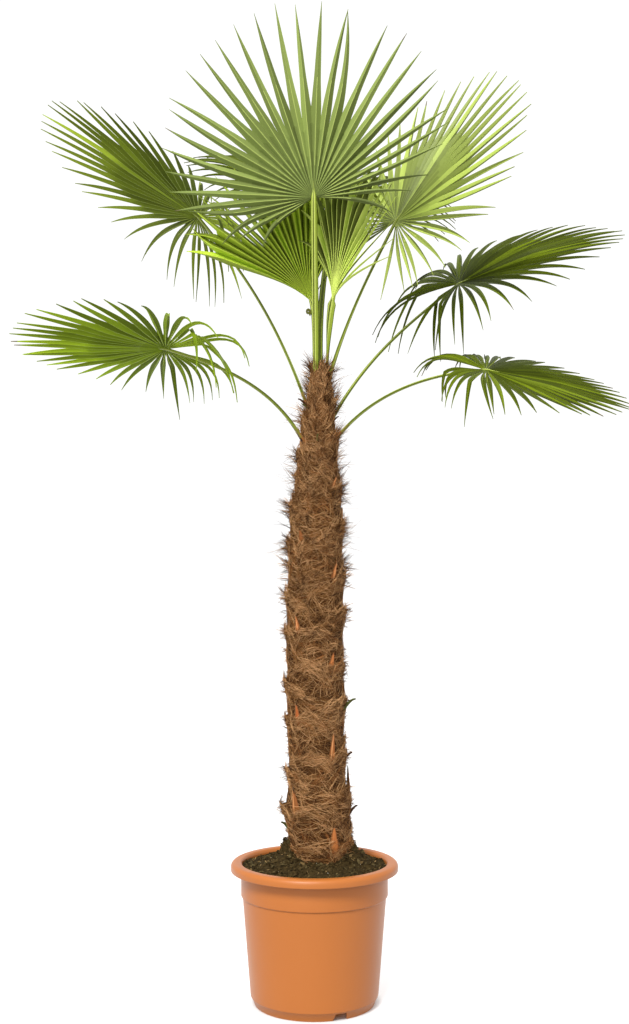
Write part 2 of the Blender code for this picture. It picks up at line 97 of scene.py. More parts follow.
# Old leaf bases: they climb the trunk two turns in every five, each over a sheath of fibre
BASE_COUNT = 22
BASE_FIRST_HEIGHT = 0.352
BASE_RISE = 0.038
BASE_FIRST_BEARING = radians(-64)
BASE_TURN = radians(144.6)
BASE_LENGTH = 0.070
BASE_WIDTH = 0.026
BASE_THICKNESS = 0.008
BASE_STAND = (0.006, 0.012)
BASE_SHRINK = (0.45, 0.30)  # the height above which the bases get smaller, and over how much
SHEATHS = BASE_COUNT + 6
SHEATH_LENGTH = 0.100
SHEATH_REACH = radians(105)
SHEATH_SLANT = 0.030
SHEATH_RELIEF = 0.0100
SHEATH_NOTCH = 0.030  # how deep a sheath's top is parted where its leaf base comes out
SHEATH_NOTCH_REACH = 0.085  # and how wide, as a share of the sheath's reach
FLARED_SHEATH = 2  # the sheath that stands out further than the others, and how much further
SHEATH_FLARE = 1.6

# Stalks and fronds
STALK_SIDES = 16
STALK_STRIPES = (2, 0, 1, 2, 1, 1, 0, 2, 2, 0, 0, 1, 2, 1, 0, 2)  # a finish for each side of a stalk
# Painted shade: the stripes for the stalk of a leaf in shade, mostly dark.
SHADED_STRIPES = (2, 2, 0, 2, 2, 0, 2, 2, 2, 2, 0, 2, 2, 0, 2, 2)
STALK_RINGS = 36
BROWN_FOOT_HEIGHT = 1.22  # the height below which the stalks' feet are brown
STALK_WIDTH = 0.0135
STALK_THICKNESS = 0.0095
ROOT_DEPTH = 0.012
CURL_PLACE = (-0.0135, 0.000, 1.488)  # the middle of a dried curl beside the young leaves' stalks
RAY_STEPS = 24
JOINED_STATIONS = 8
FREE_STATIONS = 13
BLADE_THICKNESS = 0.0008
RIB_WIDTH = 0.0007
LEAFLET_WIDTH = 0.0148
BACK_LEAFLET_WIDTH = 0.0112
RAY_OPENS = 0.5  # the share of their length along which gathered leaflets swing apart


@dataclass
class Leaf:
    """One leaf: a stalk from its root on the trunk to a hub, and a round fan of leaflets there.

    Angles are in degrees. aim and rise point the fan's middle leaflet, and roll turns the fan
    about it. spread is the fan's half angle. taper shortens the leaflets towards the back and
    skew lengthens one side. droop and back_droop bend the front and back leaflets down, past
    the share stiff of their length, and cup lifts both sides of the fan. turn swings the whole
    fan round in its plane, and gather is how far a young leaf's leaflets still lie together near
    the hub. broad is how wide the stalk is for a stalk here, and flare how much wider its foot
    is. joined is how much of the middle leaflets' length stays joined, pleat how deep the folds
    are, and tint picks the leaf's greens. snapped is the share of the back leaflets that are
    snapped. contrast is painted light and shade: it sets the two sides of a folded
    leaflet so many shades apart, one painted lit and one painted shaded. fade is
    painted light by the hub and painted shadow towards the tip, darkening a leaflet from hub to tip.
    parted is how much of the joint the back leaflets lose, and cleft the middle, width and depth
    of a part of the fan that is split further. slim narrows the free leaflets, blunt shortens
    the last leaflets at the back further and dim darkens them by so many shades of painted
    shade. bow swings the stalk's middle towards -X, sunk is how far
    below the hub the folded leaflets begin, and a shaded leaf's stalk is painted dark with shade.
    """

    name: str
    root: tuple
    hub: tuple
    aim: float
    rise: float
    roll: float
    radius: float
    spread: float
    taper: float
    droop: float
    back_droop: float
    stiff: float
    cup: float = 0.0
    skew: float = 0.0
    turn: float = 0.0
    gather: float = 0.0
    broad: float = 1.0
    flare: float = 0.9
    start_rise: float = 0.5
    arrive: float = 0.35
    leaflets: int = 40
    joined: float = 0.43
    pleat: float = 0.55
    tint: str = "deep"
    snapped: float = 0.0
    contrast: float = 1.0
    fade: float = 0.0
    parted: float = 0.88
    cleft: tuple = (9.0, 1.0, 0.0)
    slim: float = 1.0
    blunt: float = 0.0
    dim: float = 1.2
    bow: float = 0.0
    sunk: float = 0.0
    shaded: bool = False


LEAVES = (
    Leaf(
        "front_high", root=(0.0035, -0.0135, 1.350), hub=(-0.0015, -0.150, 1.7027),
        aim=265, rise=84, roll=-3, radius=0.398, spread=110, taper=0.45,
        droop=0.02, back_droop=0.55, stiff=0.60, skew=-0.07, turn=15, broad=1.3, flare=-0.30,
        leaflets=32, tint="sage", parted=0.65, cleft=(1.0, 0.35, -1.3), blunt=0.32, dim=3.5,
    ),
    Leaf(
        "front_right", root=(0.0314, -0.0076, 1.345), hub=(0.1769, -0.010, 1.6863),
        aim=-6, rise=54.5, roll=-35.5, radius=0.397, spread=136, taper=0.40,
        droop=0.05, back_droop=1.1, stiff=0.70, cup=-0.02, skew=-0.12, broad=1.1, flare=0.2,
        tint="bright", contrast=1.7, dim=2.4,
    ),
    Leaf(
        "back_left", root=(-0.0166, 0.0090, 1.290), hub=(-0.2724, 0.206, 1.7492),
        aim=196, rise=33, roll=-1, radius=0.427, spread=138, taper=0.49,
        droop=0.12, back_droop=4.0, stiff=0.55, cup=-0.03, skew=0.16,
        tint="olive", snapped=0.2, contrast=1.9,
    ),
    Leaf(
        "low_left", root=(-0.0178, -0.0103, 1.195), hub=(-0.3033, -0.200, 1.3793),
        aim=191, rise=3, roll=-9, radius=0.314, spread=148, taper=0.31,
        droop=0.05, back_droop=4.6, stiff=0.80, cup=0.02, skew=-0.04, start_rise=1.1, arrive=0.6,
        tint="meadow", snapped=0.35, contrast=1.5, dim=2.0,
    ),
    Leaf(
        "back_right", root=(0.0308, 0.0096, 1.245), hub=(0.3359, 0.200, 1.5910),
        aim=4, rise=25, roll=-19, radius=0.392, spread=146, taper=0.36,
        droop=0.42, back_droop=2.0, stiff=0.15, cup=0.06, skew=-0.05, snapped=0.35, contrast=2.3, dim=0.3,
    ),
    Leaf(
        "low_right", root=(0.0371, -0.0085, 1.200), hub=(0.3615, -0.100, 1.3500),
        aim=1, rise=-11, roll=-20, radius=0.310, spread=148, taper=0.42,
        droop=0.12, back_droop=3.0, stiff=0.50, start_rise=0.9, arrive=0.6, snapped=0.35,
        contrast=2.4, dim=0.7,
    ),
    Leaf(
        "young_left", root=(-0.0010, 0.0040, 1.364), hub=(-0.0059, 0.002, 1.5107),
        aim=188, rise=68, roll=-80, radius=0.325, spread=50, taper=0.30,
        droop=0.10, back_droop=0.3, stiff=0.50, gather=0.55, flare=-0.1,
        leaflets=22, joined=0.75, pleat=1.1, tint="grass", skew=0.28,
        contrast=3.0, fade=3.2, cleft=(0.45, 0.20, 0.60), slim=0.9,
    ),
    Leaf(
        "young_right", root=(0.0285, -0.0020, 1.364), hub=(0.0394, -0.037, 1.5108),
        aim=-34, rise=68, roll=80, radius=0.298, spread=45, taper=0.50,
        droop=0.10, back_droop=0.6, stiff=0.50, gather=0.75, broad=1.85, flare=-0.55,
        leaflets=20, joined=0.72, pleat=1.1, turn=7, tint="lime", contrast=3.3,
        fade=3.4, cleft=(-0.80, 0.42, 0.88), slim=0.62, sunk=0.055,
    ),
    Leaf(
        "back_high", root=(0.0140, 0.0120, 1.364), hub=(0.0382, 0.340, 1.8017),
        aim=112, rise=34, roll=0, radius=0.410, spread=124, taper=0.32,
        droop=1.20, back_droop=1.6, stiff=0.65, cup=0.20, broad=1.1, flare=-0.25, start_rise=0.9,
        bow=0.012, shaded=True,
    ),
)


# Settings that a user would change


def colour_property(name, description, default):
    return bpy.props.FloatVectorProperty(
        name=name, description=description, default=default, subtype="COLOR", size=3, min=0.0, max=1.0
    )


class PALM_PG_pot(bpy.types.PropertyGroup):
    colour: colour_property("Plastic", "Colour of the pot's plastic", (0.412, 0.126, 0.022))
    lip_edge: bpy.props.FloatProperty(
        name="Lip edge", description="Radius of the rounding along the lip", default=0.0095, unit="LENGTH"
    )


class PALM_PG_soil(bpy.types.PropertyGroup):
    colour: colour_property("Soil", "Colour of the soil's dark crumbs", (0.034, 0.022, 0.007))
    chip: colour_property("Chip", "Colour of the pale chips of wood", (0.34, 0.22, 0.09))
    crumbs: bpy.props.IntProperty(
        name="Crumbs", description="How many crumbs lie on the soil", default=4400, min=0
    )
    crumb_size: bpy.props.FloatProperty(
        name="Crumb size", description="Width of a middling crumb", default=0.0050, unit="LENGTH"
    )


class PALM_PG_trunk(bpy.types.PropertyGroup):
    # The dark fibre carries painted shade over the fibre's own colour: it is the fibre as it looks in the shaded
    # hollows.
    dark: colour_property("Dark fibre", "Colour of the fibre in the hollows", (0.046, 0.017, 0.004))
    middle: colour_property("Fibre", "Colour of most fibres", (0.235, 0.104, 0.030))
    # Pale fibre is bleached fibre, and is also dealt out on the outer strands as painted highlight.
    pale: colour_property("Pale fibre", "Colour of the bleached fibres", (0.640, 0.360, 0.160))
    husk: colour_property("Old base", "Colour of the old leaf bases", (0.410, 0.138, 0.037))
    strands: bpy.props.IntProperty(
        name="Strands", description="How many strands lie in each layer of fibre", default=10400, min=0
    )
    hairs: bpy.props.IntProperty(
        name="Hairs", description="How many hairs stand out from the sheaths' edges", default=10200, min=0
    )
    strand_width: bpy.props.FloatProperty(
        name="Strand width", description="Width of a strand at its middle", default=0.0008, unit="LENGTH"
    )


class PALM_PG_leaf(bpy.types.PropertyGroup):
    sage: colour_property("Sage", "Colour of the front leaf, seen from below", (0.186, 0.236, 0.064))
    bright: colour_property("Bright", "Colour of the leaf that catches most light", (0.298, 0.368, 0.074))
    olive: colour_property("Olive", "Colour of the old leaf at the left", (0.196, 0.262, 0.016))
    meadow: colour_property("Meadow", "Colour of the low leaf at the left", (0.230, 0.335, 0.009))
    deep: colour_property("Deep", "Colour of the other old leaves", (0.084, 0.113, 0.004))
    grass: colour_property("Grass", "Colour of a young leaf", (0.350, 0.460, 0.038))
    lime: colour_property("Lime", "Colour of the youngest leaf", (0.435, 0.525, 0.105))
    tip: colour_property("Tip", "Colour of the dry tips", (0.14, 0.12, 0.05))
    stalk: colour_property("Stalk", "Colour of the stalks", (0.270, 0.345, 0.030))


class PALM_PG_stage(bpy.types.PropertyGroup):
    floor: colour_property("Floor", "Colour of the floor", (0.60, 0.60, 0.60))
    floor_glow: bpy.props.FloatProperty(
        name="Floor glow", description="How brightly the floor is lit from below", default=0.55, min=0.0
    )
    key_power: bpy.props.FloatProperty(
        name="Key light", description="Power of the main light", default=2500.0, min=0.0, unit="POWER"
    )
    fill_power: bpy.props.FloatProperty(
        name="Fill light", description="Power of the light from the front", default=95.0, min=0.0, unit="POWER"
    )
    camera_distance: bpy.props.FloatProperty(
        name="Camera distance", description="How far the camera stands in front", default=3.0, unit="LENGTH"
    )
    camera_height: bpy.props.FloatProperty(
        name="Camera height", description="Height of the camera", default=0.964, unit="LENGTH"
    )
    camera_pitch: bpy.props.FloatProperty(
        name="Camera pitch", description="How far the camera looks up", default=radians(1.7), unit="ROTATION"
    )
    lens: bpy.props.FloatProperty(
        name="Lens", description="Focal length of the camera", default=48.6, unit="CAMERA"
    )


# Shader maths


class Value:
    """A socket of a material's nodes. Python's operators on it add Math nodes."""

    def __init__(self, paint, socket):
        self.paint = paint
        self.socket = socket

    def __add__(self, other):
        return self.paint.maths("ADD", self, other)

    def __sub__(self, other):
        return self.paint.maths("SUBTRACT", self, other)

    def __rsub__(self, other):
        return self.paint.maths("SUBTRACT", other, self)

    def __mul__(self, other):
        return self.paint.maths("MULTIPLY", self, other)

    def __pow__(self, other):
        return self.paint.maths("POWER", self, other)

    __radd__ = __add__
    __rmul__ = __mul__


class Paint:
    """A material in the making, round one Principled BSDF."""

    def __init__(self, name):
        self.material = bpy.data.materials.new(name)
        self.material.use_nodes = True
        self.tree = self.material.node_tree
        self.shader = self.tree.nodes["Principled BSDF"]

    @classmethod
    def of_world(cls, world):
        """The nodes of a world, round its Background."""
        world.use_nodes = True
        paint = cls.__new__(cls)
        paint.tree = world.node_tree
        paint.shader = paint.tree.nodes["Background"]
        return paint

    def feed(self, socket, value):
        if isinstance(value, Value):
            self.tree.links.new(value.socket, socket)
        else:
            socket.default_value = value

    def node(self, kind, settings=None, inputs=None, output=0):
        """Adds a node, sets it up, feeds its inputs and gives one of its outputs."""
        made = self.tree.nodes.new(kind)
        for key, value in (settings or {}).items():
            setattr(made, key, value)
        for key, value in (inputs or {}).items():
            self.feed(made.inputs[key], value)
        return Value(self, made.outputs[output])

    def maths(self, operation, first, second):
        return self.node("ShaderNodeMath", {"operation": operation}, {0: first, 1: second})

    def mix(self, factor, first, second):
        """Goes from the first colour to the second as the factor rises."""
        pair = [c if isinstance(c, Value) else (*c, 1.0) for c in (first, second)]
        inputs = {0: factor, 6: pair[0], 7: pair[1]}
        return self.node("ShaderNodeMix", {"data_type": "RGBA", "clamp_factor": True}, inputs, 2)

    def noise(self, scale, detail=3.0, stretch=(1.0, 1.0, 1.0)):
        """Cloudy noise over the piece, from 0 to 1, with its scale in features a metre."""
        place = self.node("ShaderNodeTexCoord", output="Object")
        stretched = self.node(
            "ShaderNodeVectorMath", {"operation": "MULTIPLY"}, {0: place, 1: stretch}
        )
        return self.node(
            "ShaderNodeTexNoise", None, {"Vector": stretched, "Scale": scale, "Detail": detail}
        )

    def spread(self, value, low, high):
        """Stretches the values between low and high over 0 to 1."""
        return self.node("ShaderNodeMapRange", None, {0: value, 1: low, 2: high})

    def finish(self, colour, roughness, bump=None, depth=0.0005, strength=0.5, **constants):
        """Feeds the shader, sets its constant sockets and gives the material."""
        self.feed(self.shader.inputs["Base Color"], colour)
        self.feed(self.shader.inputs["Roughness"], roughness)
        if bump is not None:
            inputs = {"Strength": strength, "Distance": depth, "Height": bump}
            self.feed(self.shader.inputs["Normal"], self.node("ShaderNodeBump", None, inputs))
        for name, value in constants.items():
            self.shader.inputs[name.replace("_", " ")].default_value = value
        return self.material


def shade(colour, share):
    """The colour made darker, or lighter with a share over one."""
    return tuple(min(channel * share, 1.0) for channel in colour)


def between(first, second, share):
    return tuple(a + (b - a) * share for a, b in zip(first, second))


def plastic_finish(colour):
    paint = Paint("terracotta plastic")
    cloud = paint.noise(7.0, 3.0)
    base = paint.mix(cloud, shade(colour, 0.96), shade(colour, 1.04))
    grain = paint.noise(1400.0, 2.0)
    return paint.finish(
        base, cloud * 0.06 + 0.36, grain, depth=0.0003, strength=0.10, **{"Specular_IOR_Level": 0.36}
    )


def soil_finish(name, colour):
    paint = Paint(name)
    clod = paint.noise(160.0, 6.0)
    # Painted shade and light: the soil is darker in the bump's hollows and lighter on its tops, over its own patchy
    # colour.
    base = paint.mix(paint.spread(clod, 0.3, 0.7), shade(colour, 0.45), shade(colour, 1.5))
    return paint.finish(base, 0.95, clod, depth=0.002, strength=0.8, **{"Specular_IOR_Level": 0.08})


def fibre_finish(name, colour):
    paint = Paint(name)
    streak = paint.noise(60.0, 5.0, (1.0, 1.0, 2.2))
    base = paint.mix(paint.spread(streak, 0.32, 0.68), shade(colour, 0.55), shade(colour, 1.35))
    grain = paint.noise(900.0, 3.0)
    return paint.finish(base, 0.9, grain, depth=0.0006, strength=0.5, **{"Specular_IOR_Level": 0.1})


def plain_finish(name, colour, roughness, specular=0.12):
    """One colour all over, for pieces made of many small parts."""
    return Paint(name).finish((*colour, 1.0), roughness, **{"Specular_IOR_Level": specular})


# Meshes


def unit(vector):
    return vector / np.linalg.norm(vector, axis=-1, keepdims=True)


def smooth_step(share):
    share = np.clip(share, 0.0, 1.0)
    return share * share * (3.0 - 2.0 * share)


def smooth_between(value, places, levels):
    """A curve that follows the levels at the places, with its corners rounded off."""
    value = np.asarray(value, float)
    return sum(np.interp(value + shift, places, levels) for shift in ROUNDING) / len(ROUNDING)


def make_piece(name, points, faces, finishes, slots=None, sharp=40.0):
    """A mesh object of the points and faces, with a finish for each slot number."""
    mesh = bpy.data.meshes.new(name)
    mesh.from_pydata(np.asarray(points, float).tolist(), [], faces)
    for finish in finishes:
        mesh.materials.append(finish)
    if slots is not None:
        mesh.polygons.foreach_set("material_index", np.asarray(slots, np.int32))
    mesh.shade_smooth()
    if sharp < 180.0:
        mesh.set_sharp_from_angle(angle=radians(sharp))
    mesh.update()
    piece = bpy.data.objects.new(name, mesh)
    bpy.context.scene.collection.objects.link(piece)
    return piece


def settle(piece, slot, *nodes):
    """Puts the finished piece on the palm's body, in place of the solids it stands for."""
    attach(piece, "root")
    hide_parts(*nodes)


def loft(rings, first=0):
    """Faces of a closed tube through rings of equal size, with a cap at each end."""
    count, size = len(rings), len(rings[0])
    last = first + (count - 1) * size
    faces = [tuple(range(first + size - 1, first - 1, -1)), tuple(range(last, last + size))]
    for start in range(first, last, size):
        for side in range(size):
            after = (side + 1) % size
            faces.append((start + side, start + after, start + size + after, start + size + side))
    return faces


def turned(profile, sides):
    """Points and faces of a profile of radius and height, turned about Z from pole to pole."""
    points = [(0.0, 0.0, profile[0][1]), (0.0, 0.0, profile[-1][1])]
    for radius, height in profile[1:-1]:
        turns = [2 * pi * side / sides for side in range(sides)]
        points += [(radius * cos(turn), radius * sin(turn), height) for turn in turns]
    faces = []
    last = len(points) - sides
    for side in range(sides):
        after = (side + 1) % sides
        faces.append((0, 2 + after, 2 + side))
        faces.append((1, last + side, last + after))
        for start in range(2, last, sides):
            faces.append((start + side, start + after, start + sides + after, start + sides + side))
    return points, faces


def arc(centre, reach, first, last, steps):
    """Points of an elliptical arc between two angles in degrees."""
    angles = [radians(first + (last - first) * step / steps) for step in range(steps + 1)]
    return [(centre[0] + reach[0] * cos(angle), centre[1] + reach[1] * sin(angle)) for angle in angles]


def bake_modifiers(piece):
    """Gives the piece the mesh that its modifiers make, and takes them off."""
    evaluated = piece.evaluated_get(bpy.context.evaluated_depsgraph_get())
    mesh = bpy.data.meshes.new_from_object(evaluated)
    piece.modifiers.clear()
    piece.data = mesh


# Pot and soil


def pot_outline(edge):
    """The pot's outline as radius and height, from the middle of its underside to that of its inside."""
    lip_top = POT_HEIGHT - edge
    under_lip = POT_HEIGHT - 0.0045
    floor = FOOT_HEIGHT + WALL
    outline = [(0.0, 0.0), (PAD_RADIUS, 0.0), (PAD_RADIUS + 0.010, FOOT_HEIGHT)]
    outline += [(BODY_FOOT_RADIUS - WALL - 0.001, FOOT_HEIGHT), (FOOT_RADIUS - WALL, 0.0)]
    outline += arc((FOOT_RADIUS - 0.001, 0.001), (0.001, 0.001), -90, 0, 3)
    outline += [(BODY_FOOT_RADIUS - 0.0014, FOOT_HEIGHT - 0.0006)]
    outline += arc((BODY_FOOT_RADIUS - 0.0012, FOOT_HEIGHT + 0.0012), (0.0012, 0.0012), -60, 0, 4)
    lift = STEP_HEIGHT - 0.0025
    outline += [
        (BODY_FOOT_RADIUS + (BODY_TOP_RADIUS - BODY_FOOT_RADIUS) * share, FOOT_HEIGHT + (lift - FOOT_HEIGHT) * share)
        for share in (0.02, 0.1, 0.25, 0.4, 0.55, 0.7, 0.85, 1.0)
    ]
    outline += arc((COLLAR_RADIUS - 0.0024, STEP_HEIGHT + 0.0010), (0.0024, 0.0022), -80, 0, 5)
    outline += [(COLLAR_RADIUS, STEP_HEIGHT + 0.02), (COLLAR_RADIUS, under_lip - 0.008)]
    outline += [(COLLAR_RADIUS, under_lip), (LIP_RADIUS - WALL, under_lip)]
    outline += [(LIP_RADIUS - WALL, POT_HEIGHT - LIP_DEPTH + 0.001)]
    outline += arc((LIP_RADIUS - 0.0012, POT_HEIGHT - LIP_DEPTH + 0.0012), (0.0012, 0.0012), -120, 0, 5)
    outline += arc((LIP_RADIUS - edge, lip_top), (edge, edge), 0, 90, 10)
    inner = OPENING_RADIUS - COLLAR_RADIUS + WALL
    outline += arc((OPENING_RADIUS, lip_top), (inner, edge), 90, 165, 8)
    outline += [(COLLAR_RADIUS - WALL, lip_top - 0.008), (COLLAR_RADIUS - WALL, STEP_HEIGHT)]
    outline += [(BODY_TOP_RADIUS - WALL, STEP_HEIGHT - WALL), (BODY_FOOT_RADIUS - WALL, floor)]
    return outline + [(PAD_RADIUS + 0.010 + WALL, floor), (PAD_RADIUS, WALL), (0.0, WALL)]


def notch_cutter(index, finish):
    """A wedge that opens the foot to the ground, a little wider at the ground than at its top."""
    angle = FIRST_NOTCH + 2 * pi * index / DRAIN_NOTCHES
    out = np.array([cos(angle), sin(angle), 0.0])
    side = np.array([-sin(angle), cos(angle), 0.0])
    points = []
    for reach in (FOOT_RADIUS - 3 * WALL, BODY_FOOT_RADIUS + WALL):
        for height, half in ((-WALL, NOTCH_WIDTH * 0.56), (NOTCH_HEIGHT, NOTCH_WIDTH * 0.42)):
            ends = [out * reach + side * half * sign + UP * height for sign in (-1, 1)]
            points += ends if height < 0 else ends[::-1]
    return make_piece(f"notch_{index + 1}", points, loft([points[:4], points[4:]]), [finish])


class PALM_OT_pot(bpy.types.Operator):
    """Builds the moulded pot with its lip, collar, foot and drain notches"""

    bl_idname = "palm.pot"
    bl_label = "Pot"

    def execute(self, context):
        settings = context.scene.palm_pot
        finish = plastic_finish(tuple(settings.colour))
        pot = make_piece("pot_moulding", *turned(pot_outline(settings.lip_edge), POT_SIDES), [finish])
        cutters = [notch_cutter(index, finish) for index in range(DRAIN_NOTCHES)]
        for cutter in cutters:
            shape = bmesh.new()
            shape.from_mesh(cutter.data)
            bmesh.ops.recalc_face_normals(shape, faces=shape.faces)
            shape.to_mesh(cutter.data)
            shape.free()
            cut = pot.modifiers.new("drain notch", "BOOLEAN")
            cut.operation = "DIFFERENCE"
            cut.solver = "EXACT"
            cut.object = cutter
        bake_modifiers(pot)
        pot.data.set_sharp_from_angle(angle=radians(38))
        for cutter in cutters:
            bpy.data.objects.remove(cutter, do_unlink=True)
        settle(pot, "pot_plastic", "pot")
        return {"FINISHED"}


def soil_height(x, y):
    """The soil's height: level at the pot's wall, heaped against the trunk's sides, lumpy all over."""
    mound = SOIL_MOUND * (1.0 - smooth_step((np.hypot(x, y) - 0.072) / 0.070))
    x -= LEAN_OFFSETS[0]
    away = max(np.hypot(x, y) - TRUNK_RADII[0], 0.0)
    beside = (x / (np.hypot(x, y) + 1e-9)) ** 4
    uneven = noise.fractal(Vector((x * 60, y * 60, 9.0)), 0.7, 2.0, 3)
    heap = (0.001 + 0.040 * beside * (1.0 + 0.8 * uneven)) * np.exp(-((away / 0.028) ** 2))
    lumps = noise.fractal(Vector((x * 45, y * 45, 4.0)), 0.6, 2.1, 4) * 0.0058
    wall = smooth_step((away - 0.05) / 0.03)
    return SOIL_RIM_HEIGHT + mound + heap + lumps * (1.0 - 0.4 * wall) - 0.0015 * wall


class PALM_OT_soil(bpy.types.Operator):
    """Fills the pot with lumpy soil and strews crumbs and wood chips over it"""

    bl_idname = "palm.soil"
    bl_label = "Soil"

    def execute(self, context):
        settings = context.scene.palm_soil
        dark, chip = tuple(settings.colour), tuple(settings.chip)
        finishes = [
            soil_finish("dark soil", dark),
            plain_finish("brown soil", shade(dark, 1.5), 0.9),
            plain_finish("olive soil", between(shade(dark, 1.6), (0.13, 0.105, 0.045), 0.35), 0.9),
            plain_finish("wood chip", chip, 0.8),
            plain_finish("pale grain", (0.66, 0.62, 0.52), 0.7),
            plain_finish("tan soil", between(shade(dark, 2.2), chip, 0.30), 0.9),
        ]
        rings, sides = 46, 120
        points, faces = [(0.0, 0.0, SOIL_RIM_HEIGHT)], []
        for ring in range(1, rings + 1):
            radius = SOIL_RADIUS * ring / rings
            for side in range(sides):
                turn = 2 * pi * side / sides
                x, y = radius * cos(turn), radius * sin(turn)
                points.append((x, y, soil_height(x, y)))
        for radius, height in ((0.1500, 0.240), (0.02, 0.239)):
            turns = [2 * pi * side / sides for side in range(sides)]
            points += [(radius * cos(turn), radius * sin(turn), height) for turn in turns]
        for side in range(sides):
            after = (side + 1) % sides
            faces.append((0, 1 + side, 1 + after))
            for start in range(1, len(points) - sides, sides):
                faces.append((start + side, start + sides + side, start + sides + after, start + after))
        faces.append(tuple(range(len(points) - 1, len(points) - sides - 1, -1)))
        bed = make_piece("soil_bed", points, faces, [finishes[0]])
        settle(bed, "potting_soil", "soil")
        self.strew(settings, finishes)
        return {"FINISHED"}

    def strew(self, settings, finishes):
        """Crumbs: small rough stones of seven corners, mostly dark, with a few chips and grains."""
        rough = np.random.default_rng(11)
        count = settings.crumbs
        radius = SOIL_RADIUS * 0.985 * np.sqrt(rough.uniform(0.10, 1.0, count))
        near = rough.random(count) < 0.30
        turn = rough.uniform(0.0, 2 * pi, count)
        radius[near] = TRUNK_RADII[0] + 0.004 + abs(rough.normal(0.0, 0.014, near.sum()))
        corners = np.array([
            (1, 0, 0), (0.35, 0.8, 0.1), (-0.7, 0.6, 0), (-0.9, -0.3, 0.1), (0.1, -0.9, 0), (0, 0.1, 0.7), (0, 0, -0.7),
        ])
        sides = [(0, 1), (1, 2), (2, 3), (3, 4), (4, 0)]
        points, faces, slots = [], [], []
        kinds = rough.choice(6, count, p=(0.42, 0.30, 0.19, 0.018, 0.007, 0.065))
        for index in range(count):
            size = settings.crumb_size * rough.uniform(0.4, 1.1) ** 1.3 * (2.6 if rough.random() < 0.10 else 1.0)
            stretch = np.array([rough.uniform(0.8, 1.3), rough.uniform(0.6, 1.0), rough.uniform(0.5, 0.9)])
            if kinds[index] == 3:
                stretch = np.array([rough.uniform(1.2, 2.4), rough.uniform(0.4, 0.8), 0.35])
            if kinds[index] == 4:
                size *= 0.5
            axis = unit(rough.normal(size=3))
            spin = rough.uniform(0, 2 * pi)
            shape = corners * stretch * rough.uniform(0.8, 1.2, (7, 1)) * size * 0.5
            turned_shape = (
                shape * cos(spin)
                + np.cross(axis, shape) * sin(spin)
                + np.outer(shape @ axis, axis) * (1 - cos(spin))
            )
            x = radius[index] * cos(turn[index]) + (LEAN_OFFSETS[0] if near[index] else 0.0)
            y = radius[index] * sin(turn[index])
            if np.hypot(x, y) > SOIL_RADIUS * 0.985:
                continue
            first = len(points)
            points += list(turned_shape + (x, y, soil_height(x, y) + size * 0.18))
            faces += [(first + a, first + b, first + 5) for a, b in sides]
            faces += [(first + b, first + a, first + 6) for a, b in sides]
            slots += [int(kinds[index])] * 10
        crumbs = make_piece("soil_crumbs", points, faces, finishes, slots, sharp=30)
        settle(crumbs, "potting_soil", "soil")


# Trunk


def base_bearing(index):
    return BASE_FIRST_BEARING + BASE_TURN * index


def stray(index):
    """How far round the trunk a leaf base sits from the middle of its sheath."""
    return radians(8.0) if index % 5 == 2 else 0.0


def base_height(index):
    return BASE_FIRST_HEIGHT + BASE_RISE * index


def sheath_edge(index, bearing):
    """How far round the trunk from a sheath's middle, as a share of its reach, and its ragged top."""
    turn = abs((bearing - base_bearing(index) + pi) % (2 * pi) - pi) / SHEATH_REACH
    ragged = 0.0035 * np.sin(9 * bearing + index * 2.3) + 0.0025 * np.sin(23 * bearing + index * 4.1)
    notch = SHEATH_NOTCH * np.exp(-((turn / SHEATH_NOTCH_REACH) ** 2))
    return turn, base_height(index) - SHEATH_SLANT * turn * turn - notch + ragged


def sheath_relief(index, turn, climb):
    """How far a sheath stands out, mostly from 0 to 1, at a share of its reach and of its length."""
    inside = (turn < 1.0) & (climb > 0.0) & (climb <= 1.0)
    flare = np.where(np.asarray(index) == FLARED_SHEATH, SHEATH_FLARE, 1.0)
    return np.where(inside, (0.35 * climb + 0.65 * climb**4) * (1.0 - np.abs(turn) ** 3) * flare, 0.0)


def trunk_relief(bearing, height):
    """The relief of the sheath that stands out furthest, over arrays of places."""
    relief = np.zeros(np.broadcast(bearing, height).shape)
    for index in range(SHEATHS):
        turn, top = sheath_edge(index, bearing)
        relief = np.maximum(relief, sheath_relief(index, turn, (height - top) / SHEATH_LENGTH + 1.0))
    return relief


def core_radius(height):
    return smooth_between(height, TRUNK_HEIGHTS, TRUNK_RADII)


def stand_off(relief, height):
    """A relief in metres, which fades out towards the crown."""
    return SHEATH_RELIEF * relief * (1.0 - 0.7 * smooth_step((height - 1.20) / 0.12))


def at_trunk(bearing, height, radius):
    """Points round the trunk's leaning axis."""
    offset = smooth_between(height, LEAN_HEIGHTS, LEAN_OFFSETS)
    return np.stack([offset + radius * np.cos(bearing), radius * np.sin(bearing), height], axis=-1)


def trunk_points(bearing, height, lift=0.0):
    """Points on the trunk's surface, or a little off it."""
    reach = core_radius(height) + stand_off(trunk_relief(bearing, height), height)
    return at_trunk(bearing, height, reach + lift)


